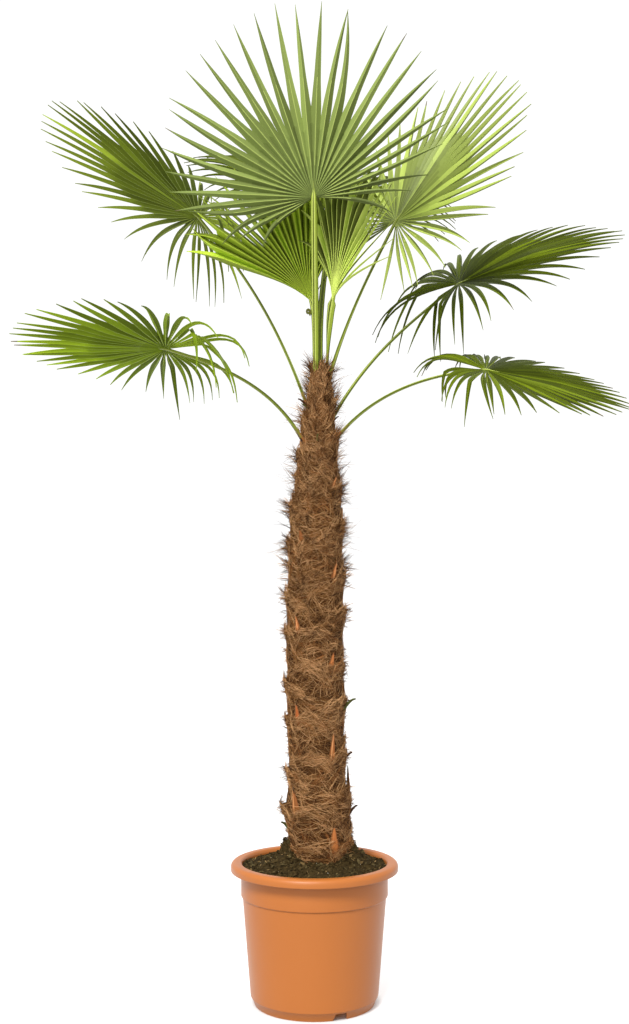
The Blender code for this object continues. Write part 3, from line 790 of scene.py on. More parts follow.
class PALM_OT_trunk(bpy.types.Operator):
    """Builds the trunk's core, with the relief of its stacked leaf sheaths"""

    bl_idname = "palm.trunk"
    bl_label = "Trunk"

    def execute(self, context):
        settings = context.scene.palm_trunk
        height, bearing = np.meshgrid(
            np.linspace(TRUNK_FOOT - 0.015, TRUNK_TOP, TRUNK_RINGS),
            np.linspace(0.0, 2 * pi, TRUNK_SIDES, endpoint=False),
            indexing="ij",
        )
        grain = np.array([
            noise.fractal(Vector((cos(b) * 5, sin(b) * 5, z * 90)), 0.7, 2.0, 4)
            for b, z in zip(bearing.ravel(), height.ravel())
        ])
        points = trunk_points(bearing, height, 0.0014 * grain.reshape(height.shape)).reshape(-1, 3)
        faces = loft([range(TRUNK_SIDES)] * TRUNK_RINGS)
        # Painted shade: the core shows only in the gaps between strands, so it is painted nearly as dark as the dark
        # fibre.
        finish = fibre_finish("matted fibre", between(tuple(settings.dark), tuple(settings.middle), 0.10))
        core = make_piece("trunk_core", points, faces, [finish], sharp=70)
        settle(core, "fibre_bark", "trunk")
        return {"FINISHED"}


def hairs_of(centre, width, out, blunt=0.12):
    """Points, faces and hair numbers of thin three-sided hairs through rows of centres."""
    count, stations = centre.shape[:2]
    heading = unit(np.gradient(centre, axis=1) + 1e-9)
    side = unit(np.cross(heading, out) + 1e-9)
    lifted = np.cross(side, heading)
    profile = np.sin(np.linspace(blunt, pi - 0.10, stations)) ** 0.6
    half = width[:, None, None] * profile[None, :, None] * 0.5
    corners = [centre + side * half, centre - side * half, centre + lifted * half * 1.3]
    points = np.stack(corners, axis=2).reshape(-1, 3)
    first = np.arange(count)[:, None, None] * stations * 3
    ring = np.arange(stations - 1)[None, :, None] * 3
    start = first + ring + np.arange(3)[None, None, :]
    after = first + ring + np.array([1, 2, 0])[None, None, :]
    quads = np.stack([start, after, after + 3, start + 3], axis=-1).reshape(-1, 4)
    owner = np.repeat(np.arange(count), (stations - 1) * 3)
    return points, quads.tolist(), owner


def around(bearing):
    """Directions out of the trunk and round it, over an array of bearings."""
    flat = np.zeros_like(bearing)
    out = np.stack([np.cos(bearing), np.sin(bearing), flat], axis=-1)
    return out, np.stack([-np.sin(bearing), np.cos(bearing), flat], axis=-1)


def fibre_finishes(settings):
    """The fibres' colours from the darkest to the palest, and a rusty one last."""
    dark, middle, pale = tuple(settings.dark), tuple(settings.middle), tuple(settings.pale)
    colours = (
        dark,
        between(dark, middle, 0.5),
        middle,
        between(middle, pale, 0.35),
        between(middle, pale, 0.7),
        pale,
        between(middle, tuple(settings.husk), 0.45),
    )
    return [plain_finish(f"fibre {number}", colour, 0.75) for number, colour in enumerate(colours)]


MANE_HAIRS = 14
MANES = ((0, 1.16), (185, 1.11), (5, 0.985), (176, 0.975), (178, 0.66), (90, 1.05), (265, 1.20))  # bearings in degrees and heights of long hairs


class PALM_OT_fibre(bpy.types.Operator):
    """Wraps the trunk in locks of fibre, with ropes and tufts along the sheaths' tops"""

    bl_idname = "palm.fibre"
    bl_label = "Fibre"

    def execute(self, context):
        settings = context.scene.palm_trunk
        finishes = fibre_finishes(settings)
        # The layers grow paler outwards: the dark under layer is painted shade of the hollows, and the lifted pale
        # layer is bleached fibre that also stands as painted highlight.
        self.wrap(settings, finishes, "fibre_under", 21, 0.8, (0.0002, 0.0014), 1.50, 0.7)
        self.wrap(settings, finishes, "fibre_over", 22, 1.0, (0.0008, 0.0026), 1.00, 2.1)
        self.wrap(settings, finishes, "fibre_pale", 23, 0.62, (0.0014, 0.0042), 0.85, 3.4)
        self.ropes(settings, finishes)
        self.tufts(settings, finishes)
        self.wisps(settings, finishes)
        return {"FINISHED"}

    def sites(self, rough, count, edge):
        """Places on the sheaths where they show: sheath, bearing and share of its length.

        edge is how far down from a sheath's top the places reach, as a share of its length.
        """
        index = rough.integers(0, SHEATHS, count * 8)
        turn = rough.uniform(-0.97, 0.97, count * 8)
        climb = 1.0 - edge * rough.random(count * 8) ** 1.4
        bearing = base_bearing(index) + turn * SHEATH_REACH
        _, top = sheath_edge(index, bearing)
        height = top + (climb - 1.0) * SHEATH_LENGTH
        own = sheath_relief(index, abs(turn), climb)
        shows = own >= trunk_relief(bearing, height) - 0.02
        shows &= (height > TRUNK_FOOT + 0.002) & (height < TRUNK_TOP - 0.004)
        shown = np.flatnonzero(shows)[:count]
        return index[shown], bearing[shown], climb[shown]

    def wrap(self, settings, finishes, name, seed, share, lift, width, middle_tone):
        """A layer of loose locks of strands that lie on the sheaths, mostly along their tops' slope.

        share is how many of a full layer's strands it has, and lift how far their ends and at
        most their middles stand off.
        """
        rough = np.random.default_rng(seed)
        each, stations = 4, 4
        locks = int(settings.strands * share) // each
        index, bearing, climb = self.sites(rough, locks, 0.95)
        locks = len(index)
        reach = core_radius(base_height(index))
        slope = (sheath_edge(index, bearing + 0.05)[1] - sheath_edge(index, bearing - 0.05)[1]) / (0.1 * reach)
        free = smooth_step((1.0 - climb) / 0.30)
        crossing = (rough.random(locks) < 0.30) * free
        tilt = np.arctan(slope) * 0.9 + rough.normal(0.0, 0.10, locks) + rough.normal(0.0, 0.22, locks) * free
        tilt += crossing * rough.choice((-1.0, 1.0), locks) * rough.uniform(0.4, 1.0, locks)
        bow = rough.normal(0.0, 0.002, locks) + rough.normal(0.0, 0.004, locks) * free
        # Painted shade and highlight: strands are darker low on a sheath, in the recess above the sheath below, and
        # paler at its top, where pale fibre shows too.
        tone = middle_tone + rough.normal(0.0, 0.7, locks) + 2.6 * (climb - 0.60)

        def spread(values):
            return np.repeat(values, each)

        count = locks * each
        index, tilt, reach = spread(index)[:, None], spread(tilt), spread(reach)[:, None]
        tilt = (tilt + rough.normal(0.0, 0.20, count))[:, None]
        bow = (spread(bow) + rough.normal(0.0, 0.002, count))[:, None]
        length = rough.uniform(0.020, 0.060, count)[:, None]
        along = np.linspace(-0.5, 0.5, stations)[None, :] * length + rough.normal(0.0, 0.006, count)[:, None]
        off = rough.normal(0.0, 0.0042, count)[:, None] + bow * (1.0 - (2 * along / length) ** 2)
        bearing = spread(bearing)[:, None] + (along * np.cos(tilt) - off * np.sin(tilt)) / reach
        middle = sheath_edge(index, spread(bearing[::each, stations // 2])[:, None])[1]
        height = middle + (spread(climb)[:, None] - 1.0) * SHEATH_LENGTH + along * np.sin(tilt) + off * np.cos(tilt)
        height = np.clip(height, TRUNK_FOOT - 0.002, TRUNK_TOP + 0.006)
        turn, top = sheath_edge(index, bearing)
        place = np.clip((height - top) / SHEATH_LENGTH + 1.0, 0.01, 1.0)
        relief = sheath_relief(index, np.minimum(turn, 0.99), place)
        rise = spread(rough.uniform(0.0, lift[1], locks)) * rough.uniform(0.6, 1.0, count)
        lifts = lift[0] + rise[:, None] * (1.0 - (2 * along / length).clip(-1, 1) ** 2)
        centre = at_trunk(bearing, height, core_radius(height) + stand_off(relief, height) + lifts)
        widths = settings.strand_width * width * rough.uniform(0.5, 1.35, count)
        points, faces, owner = hairs_of(centre, widths, around(bearing)[0])
        kinds = np.clip(np.round(spread(tone) + rough.normal(0.0, 1.6, count)), 0, 5).astype(int)
        kinds[spread(rough.random(locks)) < 0.07] = 6
        piece = make_piece(name, points, faces, finishes, kinds[owner], sharp=180)
        settle(piece, "fibre_bark", "trunk")

    def ropes(self, settings, finishes):
        """Thick pale strands that run along each sheath's top."""
        rough = np.random.default_rng(41)
        stations, each = 20, 4
        index = np.repeat(np.arange(SHEATHS), each)
        count = len(index)
        share = np.linspace(-1.0, 1.0, stations)[None, :]
        middle = rough.uniform(-0.35, 0.35, count)[:, None]
        turn = middle + share * rough.uniform(0.30, 0.62, count)[:, None]
        bearing = base_bearing(index)[:, None] + turn * SHEATH_REACH
        edge_turn, top = sheath_edge(index[:, None], bearing)
        drop = np.tile(np.array([0.0005, 0.0035, 0.0080, 0.0140]), SHEATHS)[:, None]
        wave = 0.0016 * np.sin(bearing * rough.uniform(8, 17, count)[:, None] + rough.uniform(0, 6, count)[:, None])
        height = np.clip(top - drop + wave, TRUNK_FOOT, TRUNK_TOP - 0.002)
        place = np.clip((height - top) / SHEATH_LENGTH + 1.0, 0.01, 1.0)
        relief = sheath_relief(index[:, None], np.minimum(edge_turn, 0.99), place)
        centre = at_trunk(bearing, height, core_radius(height) + stand_off(relief, height) + 0.0012)
        widths = settings.strand_width * rough.uniform(1.3, 2.3, count)
        points, faces, owner = hairs_of(centre, widths, around(bearing)[0])
        kinds = rough.choice((2, 3, 4, 5), count, p=(0.25, 0.35, 0.28, 0.12))
        piece = make_piece("fibre_ropes", points, faces, finishes, kinds[owner], sharp=180)
        settle(piece, "fibre_bark", "trunk")

    def tufts(self, settings, finishes):
        """Pointed clumps of hairs that stand out of the sheaths' tops."""
        rough = np.random.default_rng(31)
        each, stations = 4, 4
        index, bearing, climb = self.sites(rough, settings.hairs // each, 0.30)
        clumps = len(index)
        count = clumps * each
        _, top = sheath_edge(index, bearing)
        height = np.clip(top + (climb - 1.0) * SHEATH_LENGTH, TRUNK_FOOT + 0.004, TRUNK_TOP - 0.002)
        upward = 0.30 + 0.7 * smooth_step((height - 1.05) / 0.2) + rough.normal(0.0, 0.38, clumps)
        out, side = around(bearing)
        lean = unit(
            out * rough.uniform(0.5, 1.0, clumps)[:, None]
            + side * rough.normal(0.0, 0.45, clumps)[:, None] + UP * upward[:, None]
        )
        reach = rough.uniform(0.007, 0.017, clumps) * np.where(rough.random(clumps) < 0.12, 1.6, 1.0)
        reach *= 1.0 + 1.1 * smooth_step((height - 0.70) / 0.2)
        tips = trunk_points(bearing, height) + lean * reach[:, None]
        curl = unit(rough.normal(size=(clumps, 3))) * rough.uniform(0.1, 0.6, clumps)[:, None]

        def spread(values):
            return np.repeat(values, each, axis=0)

        index, climb = spread(index), np.clip(spread(climb) + rough.normal(0.0, 0.03, count), 0.02, 1.0)
        bearing = spread(bearing) + rough.normal(0.0, 0.030, count)
        turn, top = sheath_edge(index, bearing)
        height = np.clip(top + (climb - 1.0) * SHEATH_LENGTH, TRUNK_FOOT + 0.002, TRUNK_TOP - 0.002)
        relief = sheath_relief(index, np.minimum(turn, 0.99), climb)
        root = at_trunk(bearing, height, core_radius(height) + stand_off(relief, height) - 0.001)
        way = spread(tips) + rough.normal(0.0, 0.0018, (count, 3)) - root
        length = np.linalg.norm(way, axis=-1) * rough.uniform(0.6, 1.1, count)
        curl = spread(curl) + rough.normal(0.0, 0.15, (count, 3))
        tone = spread(rough.normal(1.3, 1.6, clumps))
        self.stand(rough, settings, finishes, "fibre_tufts", root, unit(way), length, curl, tone, stations, 0.95)

    def wisps(self, settings, finishes):
        """Long thin hairs here and there, and those that stand up round the stalks' feet."""
        rough = np.random.default_rng(51)
        loose, upright = 900, 900
        index, bearing, climb = self.sites(rough, loose, 0.5)
        loose = len(index)
        _, top = sheath_edge(index, bearing)
        height = top + (climb - 1.0) * SHEATH_LENGTH
        bearing = np.append(bearing, rough.uniform(0.0, 2 * pi, upright))
        height = np.append(height, rough.triangular(1.20, 1.36, TRUNK_TOP, upright))
        for number, (degree, middle) in enumerate(MANES):
            mane = slice(number * MANE_HAIRS, (number + 1) * MANE_HAIRS)
            bearing[mane] = rough.normal(radians(degree), 0.12, MANE_HAIRS)
            height[mane] = rough.normal(middle, 0.006, MANE_HAIRS)
        root = trunk_points(bearing, height, -0.001)
        out, side = around(bearing)
        ways = rough.normal(0.0, 1.0, (loose + upright, 3)) * (0.35, 0.8, 0.5) + (0.7, 0.0, 0.2)
        ways[loose:] = rough.normal(0.0, 0.25, (upright, 3)) + (0.25, 0.0, 1.0)
        heading = unit(out * ways[:, :1] + side * ways[:, 1:2] + UP * ways[:, 2:])
        length = np.append(rough.uniform(0.014, 0.036, loose), rough.uniform(0.012, 0.036, upright))
        length[:loose] *= 1.0 + 0.45 * smooth_step((height[:loose] - 0.75) / 0.2)
        length[:len(MANES) * MANE_HAIRS] *= 1.25
        tone = np.append(rough.normal(1.1, 1.2, loose), rough.normal(1.9, 1.4, upright))
        count = loose + upright
        curl = unit(rough.normal(size=(count, 3))) * rough.uniform(0.15, 0.8, count)[:, None] - UP * 0.3
        self.stand(rough, settings, finishes, "fibre_wisps", root, heading, length, curl, tone, 7, 0.65)

    def stand(self, rough, settings, finishes, name, root, heading, length, curl, tone, stations, width):
        """Hairs that stand up from their roots and curl over."""
        count = len(root)
        share = np.linspace(0.0, 1.0, stations)[None, :, None]
        centre = root[:, None, :] + length[:, None, None] * (
            heading[:, None, :] * share + curl[:, None, :] * share**2 * 0.5
        )
        widths = settings.strand_width * width * rough.uniform(0.6, 1.2, count)
        sideways = unit(np.cross(heading, UP) + 1e-9)
        points, faces, owner = hairs_of(centre, widths, sideways[:, None, :], blunt=1.2)
        kinds = np.clip(np.round(tone + rough.normal(0.0, 0.8, count)), 0, 5).astype(int)
        piece = make_piece(name, points, faces, finishes, kinds[owner], sharp=180)
        settle(piece, "fibre_bark", "trunk")


HUSK_CORNERS = 14
HUSK_RINGS = 15
CROWN_HOOKS = 9
SEEN_HOOKS = (  # the bearing in degrees, height, length and width of those that stand out lower down
    (-12, 0.624, 0.046, 0.0050), (-6, 0.518, 0.028, 0.0042), (-4, 0.404, 0.026, 0.0042),
    (187, 0.372, 0.026, 0.0042), (190, 1.282, 0.028, 0.0036), (95, 0.700, 0.032, 0.0042),
    (70, 0.480, 0.028, 0.0042), (150, 0.930, 0.024, 0.0036),
)


class PALM_OT_old_bases(bpy.types.Operator):
    """Builds what is left of the cut leaves: orange-brown wedges with split ends, and dark hooks"""

    bl_idname = "palm.old_bases"
    bl_label = "Old leaf bases"

    def execute(self, context):
        settings = context.scene.palm_trunk
        husk, dark = tuple(settings.husk), tuple(settings.dark)
        finishes = [
            plain_finish("orange husk", husk, 0.60),
            plain_finish("pale husk", between(husk, tuple(settings.pale), 0.35), 0.60),
            plain_finish("brown husk", between(husk, dark, 0.55), 0.65),
            plain_finish("dark husk", shade(dark, 0.8), 0.70),
            plain_finish("grey husk end", between(tuple(settings.pale), (0.16, 0.12, 0.07), 0.6), 0.75),
            plain_finish("red husk", between(husk, (0.330, 0.070, 0.015), 0.7), 0.60),
            plain_finish("dull husk", between(husk, tuple(settings.middle), 0.6), 0.65),
            plain_finish("green husk end", (0.075, 0.085, 0.022), 0.65),
        ]
        points, faces, slots = [], [], []
        rough = np.random.default_rng(77)
        for index in range(BASE_COUNT):
            rings = self.wedge(index)
            streak = rough.random(HUSK_CORNERS)
            worn = index % 3 == 2
            main = (0, 6, 5, 6, 6)[index % 5]
            faces += loft(rings, len(points))
            slots += [3, 4]
            for row in range(HUSK_RINGS - 1):
                for corner in range(HUSK_CORNERS):
                    way = 2 * pi * (corner + 0.5) / HUSK_CORNERS
                    slot = 1 if streak[corner] > 0.80 else main
                    if worn and streak[corner] < 0.6:
                        slot = 2
                    # Painted shade: the sides of a wedge are darker brown and its face towards the trunk dark; the cut
                    # end is dark dry husk.
                    if abs(cos(way)) > 0.75:
                        slot = 2
                    if sin(way) < 0.0 or row > HUSK_RINGS * (0.78 + 0.2 * streak[corner]):
                        slot = 3
                    slots.append(slot)
            points += [point for ring in rings for point in ring]
        hooks = [(degrees(0.4 + 2.4 * n), 1.36 - 0.022 * n, rough.uniform(0.014, 0.024), 0.0026) for n in range(CROWN_HOOKS)]
        for number, (bearing, height, length, width) in enumerate((*SEEN_HOOKS, *hooks)):
            rings = self.hook(radians(bearing), height, length, width, rough.uniform(-0.4, 0.4))
            hook_faces = loft(rings, len(points))
            faces += hook_faces
            slots += [3 if number % 3 else 7] * len(hook_faces)
            points += [point for ring in rings for point in ring]
        piece = make_piece("old_leaf_bases", points, faces, finishes, slots, sharp=45)
        nodes = [f"old_base_{index + 1:02d}" for index in range(BASE_COUNT)]
        settle(piece, "old_leaf_base", *nodes)
        return {"FINISHED"}

    def wedge(self, index):
        """Rings of one base, from its broad foot in the fibre to its narrow cut end."""
        bearing = base_bearing(index) + stray(index)
        rough = np.random.default_rng(100 + index)
        out, side = around(np.array(bearing))
        stand = rough.uniform(*BASE_STAND)
        size = 1.0 - 0.4 * float(smooth_step((base_height(index) - BASE_SHRINK[0]) / BASE_SHRINK[1]))
        length = BASE_LENGTH * rough.uniform(0.70, 1.12) * size
        size *= rough.uniform(0.85, 1.25) * (1.25 if index == 0 else 1.0)
        foot = base_height(index) - 0.45 * length
        lean = 0.012 * cos(bearing) + rough.uniform(-0.004, 0.004)
        surface = float(core_radius(foot) + 0.45 * SHEATH_RELIEF)
        rings = []
        for step in range(HUSK_RINGS):
            share = step / (HUSK_RINGS - 1)
            height = foot + length * share
            rise = 0.0060 * float(smooth_step(share / 0.35)) - 0.0022 - 0.0022 * share + 0.4 * stand * share**2
            centre = at_trunk(bearing, height, surface + rise) + side * lean * share
            half = BASE_WIDTH * size * (0.50 - 0.46 * share**1.15) * rough.uniform(0.88, 1.10)
            thick = BASE_THICKNESS * (0.60 - 0.42 * share)
            last = step == HUSK_RINGS - 1
            ring = []
            for corner in range(HUSK_CORNERS):
                turn = 2 * pi * corner / HUSK_CORNERS
                groove = 0.0007 * sin(turn * 5 + index) * (1 - abs(cos(turn)))
                off = thick * sin(turn) * (0.8 if sin(turn) > 0 else 1.0) + groove
                torn = UP * (0.005 * sin(turn * 3 + index * 1.7) + 0.002 * rough.uniform(-1, 1)) * last
                ring.append(centre + side * half * cos(turn) + out * off + torn)
            rings.append(ring)
        return rings

    def hook(self, bearing, height, length, width, sway):
        """Rings of a small dark hook: the curled stub of an old leaf stalk."""
        out, side = around(np.array(bearing))
        start = at_trunk(bearing, height, float(core_radius(height)) + 0.001)
        rings = []
        for step in range(6):
            share = step / 5
            centre = start + length * (out * share * 0.7 + UP * (0.9 * share - 0.3 * share**3) + side * sway * share**2)
            across = unit(np.cross(side, out * 0.7 + UP * (0.9 - 0.9 * share**2)))
            size = width * (1.0 - 0.60 * share)
            turns = [2 * pi * corner / 6 for corner in range(6)]
            rings.append([centre + side * size * cos(turn) + across * size * sin(turn) for turn in turns])
        return rings


# Stalks and fronds


def fan_frame(leaf):
    """The fan's own axes: along its middle leaflet, across the fan, and out of its upper face."""
    aim, rise, roll = radians(leaf.aim), radians(leaf.rise), radians(leaf.roll)
    along = np.array([cos(aim) * cos(rise), sin(aim) * cos(rise), sin(rise)])
    level = np.array([sin(aim), -cos(aim), 0.0])
    upright = np.cross(level, along)
    return along, cos(roll) * level + sin(roll) * upright, cos(roll) * upright - sin(roll) * level


def fan_start(leaf):
    """Where the leaflets begin: at the hub, or down the stalk where they are still folded."""
    hub = np.array(leaf.hub)
    return hub - unit(hub - np.array(leaf.root)) * leaf.sunk


def leaflet_length(leaf, place):
    """A leaflet's length at its place in the fan, from -1 at one back edge to 1 at the other."""
    last = 1.0 - leaf.blunt * float(smooth_step((abs(place) - 0.70) / 0.30))
    return leaf.radius * (1.0 - leaf.taper * place * place) * (1.0 + leaf.skew * place) * last + leaf.sunk


def cleft_depth(leaf, place):
    """How much of the joint the fan's cleft takes at a place, or adds where it is negative."""
    middle, width, depth = leaf.cleft
    return depth * float(np.exp(-(((place - middle) / width) ** 2)))


def joined_reach(leaf, place):
    """How far from the hub two neighbouring leaflets stay joined."""
    far = float(smooth_step((abs(place) * leaf.spread - 35.0) / 90.0))
    whole = 1.0 - cleft_depth(leaf, place)
    return max(0.012, leaf.joined * (1.0 - leaf.parted * far) * whole * leaflet_length(leaf, place))


def ray(leaf, place, bend_scale=1.0, kink=2.0):
    """Points and blade normals along one line of the fan from its hub, as it bends down.

    kink is the share of its length where an old leaflet is snapped, or more than 1 for a sound one.
    """
    along, across, normal = fan_frame(leaf)
    swing = radians(leaf.spread * place) * leaf.gather
    angle = radians(leaf.spread * place + leaf.turn) - swing
    heading = unit(cos(angle) * along + sin(angle) * across + leaf.cup * abs(sin(angle)) * normal)
    sideways = unit(cos(angle) * across - sin(angle) * along)
    back = float(smooth_step((abs(place) * leaf.spread - 55.0) / max(leaf.spread - 55.0, 1.0)))
    bend = (leaf.droop * (1.0 - back) + leaf.back_droop * back) * bend_scale
    straight = leaf.stiff * 0.5
    folded = leaf.sunk / leaflet_length(leaf, place)
    step = leaflet_length(leaf, place) / RAY_STEPS
    stalk = unit(np.array(leaf.hub) - np.array(leaf.root))
    point = fan_start(leaf) + heading * 0.004
    points, normals = [point], [unit(np.cross(sideways, heading))]
    for index in range(RAY_STEPS):
        share = (index + 0.5) / RAY_STEPS
        pull = bend * 2.0 * (max(share - straight, 0.0) / (1.0 - straight)) ** 1.3 / RAY_STEPS
        if abs(share - kink) < 0.5 / RAY_STEPS:
            pull += 0.9
        past = share - folded
        opening = 2.0 * swing * max(0.0, 1.0 - past / RAY_OPENS) / (RAY_OPENS * RAY_STEPS) * (past > 0.0)
        heading = unit(heading - (UP - UP.dot(heading) * heading) * pull + sideways * opening)
        sideways = unit(sideways - sideways.dot(heading) * heading)
        point = point + (stalk if past < 0.0 else heading) * step
        points.append(point)
        normals.append(unit(np.cross(sideways, heading)))
    return np.array(points), np.array(normals)


def on_ray(path, share):
    """The point, normal and sideways direction at a share of a ray's length."""
    points, normals = path
    place = min(max(share, 0.0), 1.0) * RAY_STEPS
    index = min(int(place), RAY_STEPS - 1)
    rest = place - index
    point = points[index] * (1 - rest) + points[index + 1] * rest
    normal = unit(normals[index] * (1 - rest) + normals[index + 1] * rest)
    heading = unit(points[index + 1] - points[index])
    return point, normal, unit(np.cross(heading, normal))


LEAFLET_CORNERS = 12


def leaflet_ring(left, right, low, across, face, half):
    """Twelve points round a leaflet: from edge to edge over its upper side, and back below."""
    rib = across * min(RIB_WIDTH, half * 0.3)
    swell = face * half * 0.07
    thick = face * BLADE_THICKNESS
    upper = [
        left, (left + low) / 2 + swell, low - rib + thick * 0.4,
        low + rib + thick * 0.4, (right + low) / 2 + swell, right,
    ]
    under = [point - thick * (1.9 if place in (2, 3) else 1.0) for place, point in enumerate(upper)]
    return upper + under[::-1]


def leaflet_rings(leaf, index, pitch, depths, rough):
    """Rings of points along one leaflet: joined to its neighbours first, then free to its tip.

    depths tells for each seam how far it stays joined, as a share of the fan's own reach there.
    """
    place = -1.0 + pitch * (index + 0.5)
    half_angle = radians(leaf.spread) * pitch / 2
    length = leaflet_length(leaf, place)
    reach = joined_reach(leaf, place)
    split = reach / length
    back = float(smooth_step((abs(place) - 0.5) / 0.4))
    kink = rough.uniform(0.40, 0.65) if rough.random() < leaf.snapped * back else 2.0
    path = ray(leaf, place, rough.uniform(0.85, 1.15), kink)
    seams = [
        (joined_reach(leaf, edge) * depth, leaflet_length(leaf, edge), ray(leaf, edge))
        for edge, depth in ((place - pitch / 2, depths[index]), (place + pitch / 2, depths[index + 1]))
    ]
    sway = rough.normal(0.0, 0.010) * (1.0 + back)
    twist = rough.normal(0.0, 0.16) + back * rough.uniform(-0.1, 0.7)
    shrink = rough.uniform(0.965, 1.0)
    widest = LEAFLET_WIDTH + (BACK_LEAFLET_WIDTH - LEAFLET_WIDTH) * back * leaf.parted
    widest *= leaf.slim / 2 * (1.0 - 0.4 * max(0.0, cleft_depth(leaf, place)))
    rings = []
    for station in range(1, JOINED_STATIONS + FREE_STATIONS + 1):
        joined = min(station / JOINED_STATIONS, 1.0) ** 1.5
        free = max(station - JOINED_STATIONS, 0) / FREE_STATIONS
        centre, out, sideways = on_ray(path, split * joined + (shrink - split) * free)
        half = half_angle * reach * joined
        opening = float(smooth_step(free / (0.38 + 0.20 * back)))
        half = (half + (max(widest, half * 0.72) - half) * opening) * (1.0 - free**2.2)
        half = max(half, 0.0004)
        fold = half * (leaf.pleat - 0.10 * opening)
        centre = centre + sideways * sway * free * free
        turn = twist * free
        across = cos(turn) * sideways + sin(turn) * out
        face = cos(turn) * out - sin(turn) * sideways
        if free == 0.0:
            edges = []
            for seam_reach, seam_length, seam in seams:
                point, normal, _ = on_ray(seam, joined * seam_reach / seam_length)
                edges.append(point + normal * half_angle * seam_reach * joined * leaf.pleat)
        else:
            forward = np.cross(out, sideways)
            edges = [
                centre + across * half * way + face * fold
                + forward * (seam[0] - reach) * max(0.0, 1.0 - free / 0.4)
                for way, seam in zip((-1, 1), seams)
            ]
        rings.append(leaflet_ring(*edges, centre - face * fold, across, face, half))
    return rings


# Shares of a leaf's green: copies from dark to light, dealt out as random tone and as painted light and shade.
BLADE_TONES_AND_PAINTED_LIGHT = (0.36, 0.48, 0.60, 0.74, 0.90, 1.08, 1.28, 1.50)


def blade_finishes(settings, tint):
    """A leaf's tones from dark to light on its upper side and its under side, dealt out as random tone and as painted
    light and shade, then its ribs and tips.
    """
    gloss = 0.05 if tint == "deep" else 0.16
    upper = tuple(getattr(settings, tint))
    under = between(upper, (0.26, 0.31, 0.06), 0.10)
    finishes = [
        plain_finish(f"{tint} blade {share}", shade(upper, share), 0.42, gloss) for share in BLADE_TONES_AND_PAINTED_LIGHT
    ]
    finishes += [
        plain_finish(f"{tint} underside {share}", shade(under, share), 0.60, 0.06) for share in BLADE_TONES_AND_PAINTED_LIGHT
    ]
    rib = between(shade(upper, 1.4), (0.46, 0.52, 0.08), 0.2)
    return finishes + [plain_finish(f"{tint} rib", rib, 0.5), plain_finish(f"{tint} tip", tuple(settings.tip), 0.6)]


RIB_SLOT, TIP_SLOT = 2 * len(BLADE_TONES_AND_PAINTED_LIGHT), 2 * len(BLADE_TONES_AND_PAINTED_LIGHT) + 1


def leaflet_slot(leaf, side, halves, station, dry):
    """The finish of a face: painted shade in the folds by the hub, then its half's tone, painted lit or shaded, the rib
    or the dry tip.
    """
    free = (station + 1 - JOINED_STATIONS) / FREE_STATIONS
    if free > dry:
        return TIP_SLOT
    if side in (2, 8) and station > 2 and free < 0.3:
        return RIB_SLOT
    # Painted light and shade of the fold: the two sides of the leaflet take its lit and its shaded tone.
    tone = halves[0] if side in (0, 1, 9, 10, 11) else halves[1]
    # Painted light by the hub and painted shadow towards the tip, from the fans above, by fade.
    tone += leaf.fade * (0.5 - station / (JOINED_STATIONS + FREE_STATIONS))
    # Painted shade: the faces by the seams are darker in the folds near the hub.
    if side in (0, 4, 6, 10) and station < (6 if leaf.contrast < 2.0 else JOINED_STATIONS):
        tone -= 2 if station < 4 else 1
    tone = min(max(round(tone), 0), len(BLADE_TONES_AND_PAINTED_LIGHT) - 1)
    return tone + (len(BLADE_TONES_AND_PAINTED_LIGHT) if side > 5 else 0)


def make_fan(leaf, finishes):
    """A leaf's blade: leaflets joined round the hub, free and tapering beyond."""
    rough = np.random.default_rng(500 + int(leaf.radius * 1000) + len(leaf.name))
    pitch = 2.0 / leaf.leaflets
    corners = LEAFLET_CORNERS
    depths = rough.uniform(0.84, 1.14, leaf.leaflets + 1)
    points, faces, slots = [], [], []
    for index in range(leaf.leaflets):
        rings = leaflet_rings(leaf, index, pitch, depths, rough)
        first = len(points)
        points += [point for ring in rings for point in ring]
        far = abs(-1.0 + pitch * (index + 0.5)) * leaf.spread
        # Painted shade: the back leaflets are up to dim shades darker; the spread round the tone is random.
        tone = 4.2 - leaf.dim * float(smooth_step((far - 65.0) / 45.0)) + rough.normal(0.0, 0.7)
        tone = int(np.clip(round(tone), 1, 5))
        # Painted light and shade: one side of each folded leaflet is painted lit, the other painted shaded.
        halves = (tone - leaf.contrast, tone + leaf.contrast)
        if rough.random() < 0.2:
            halves = (tone + leaf.contrast, tone)
        dry = 1.0 - rough.uniform(0.02, 0.07) * (2.0 if rough.random() < 0.15 else 1.0)
        for station in range(len(rings) - 1):
            start = first + station * corners
            for side in range(corners):
                after = (side + 1) % corners
                faces.append((start + side, start + corners + side, start + corners + after, start + after))
                slots.append(leaflet_slot(leaf, side, halves, station, dry))
        tip, last = len(points), len(points) - corners
        points.append((rings[-1][2] + rings[-1][3]) / 2)
        faces += [(last + side, tip, last + (side + 1) % corners) for side in range(corners)]
        slots += [TIP_SLOT] * corners
        root = len(points)
        hub = fan_start(leaf)
        points.append(hub + ((rings[0][2] + rings[0][3]) / 2 - hub) * 0.2)
        faces += [(first + (side + 1) % corners, root, first + side) for side in range(corners)]
        slots += [leaflet_slot(leaf, side, halves, 0, dry) for side in range(corners)]
    fan = make_piece(f"leaflets_{leaf.name}", points, faces, finishes, slots, sharp=30)
    settle(fan, "frond", f"frond_{leaf.name}")


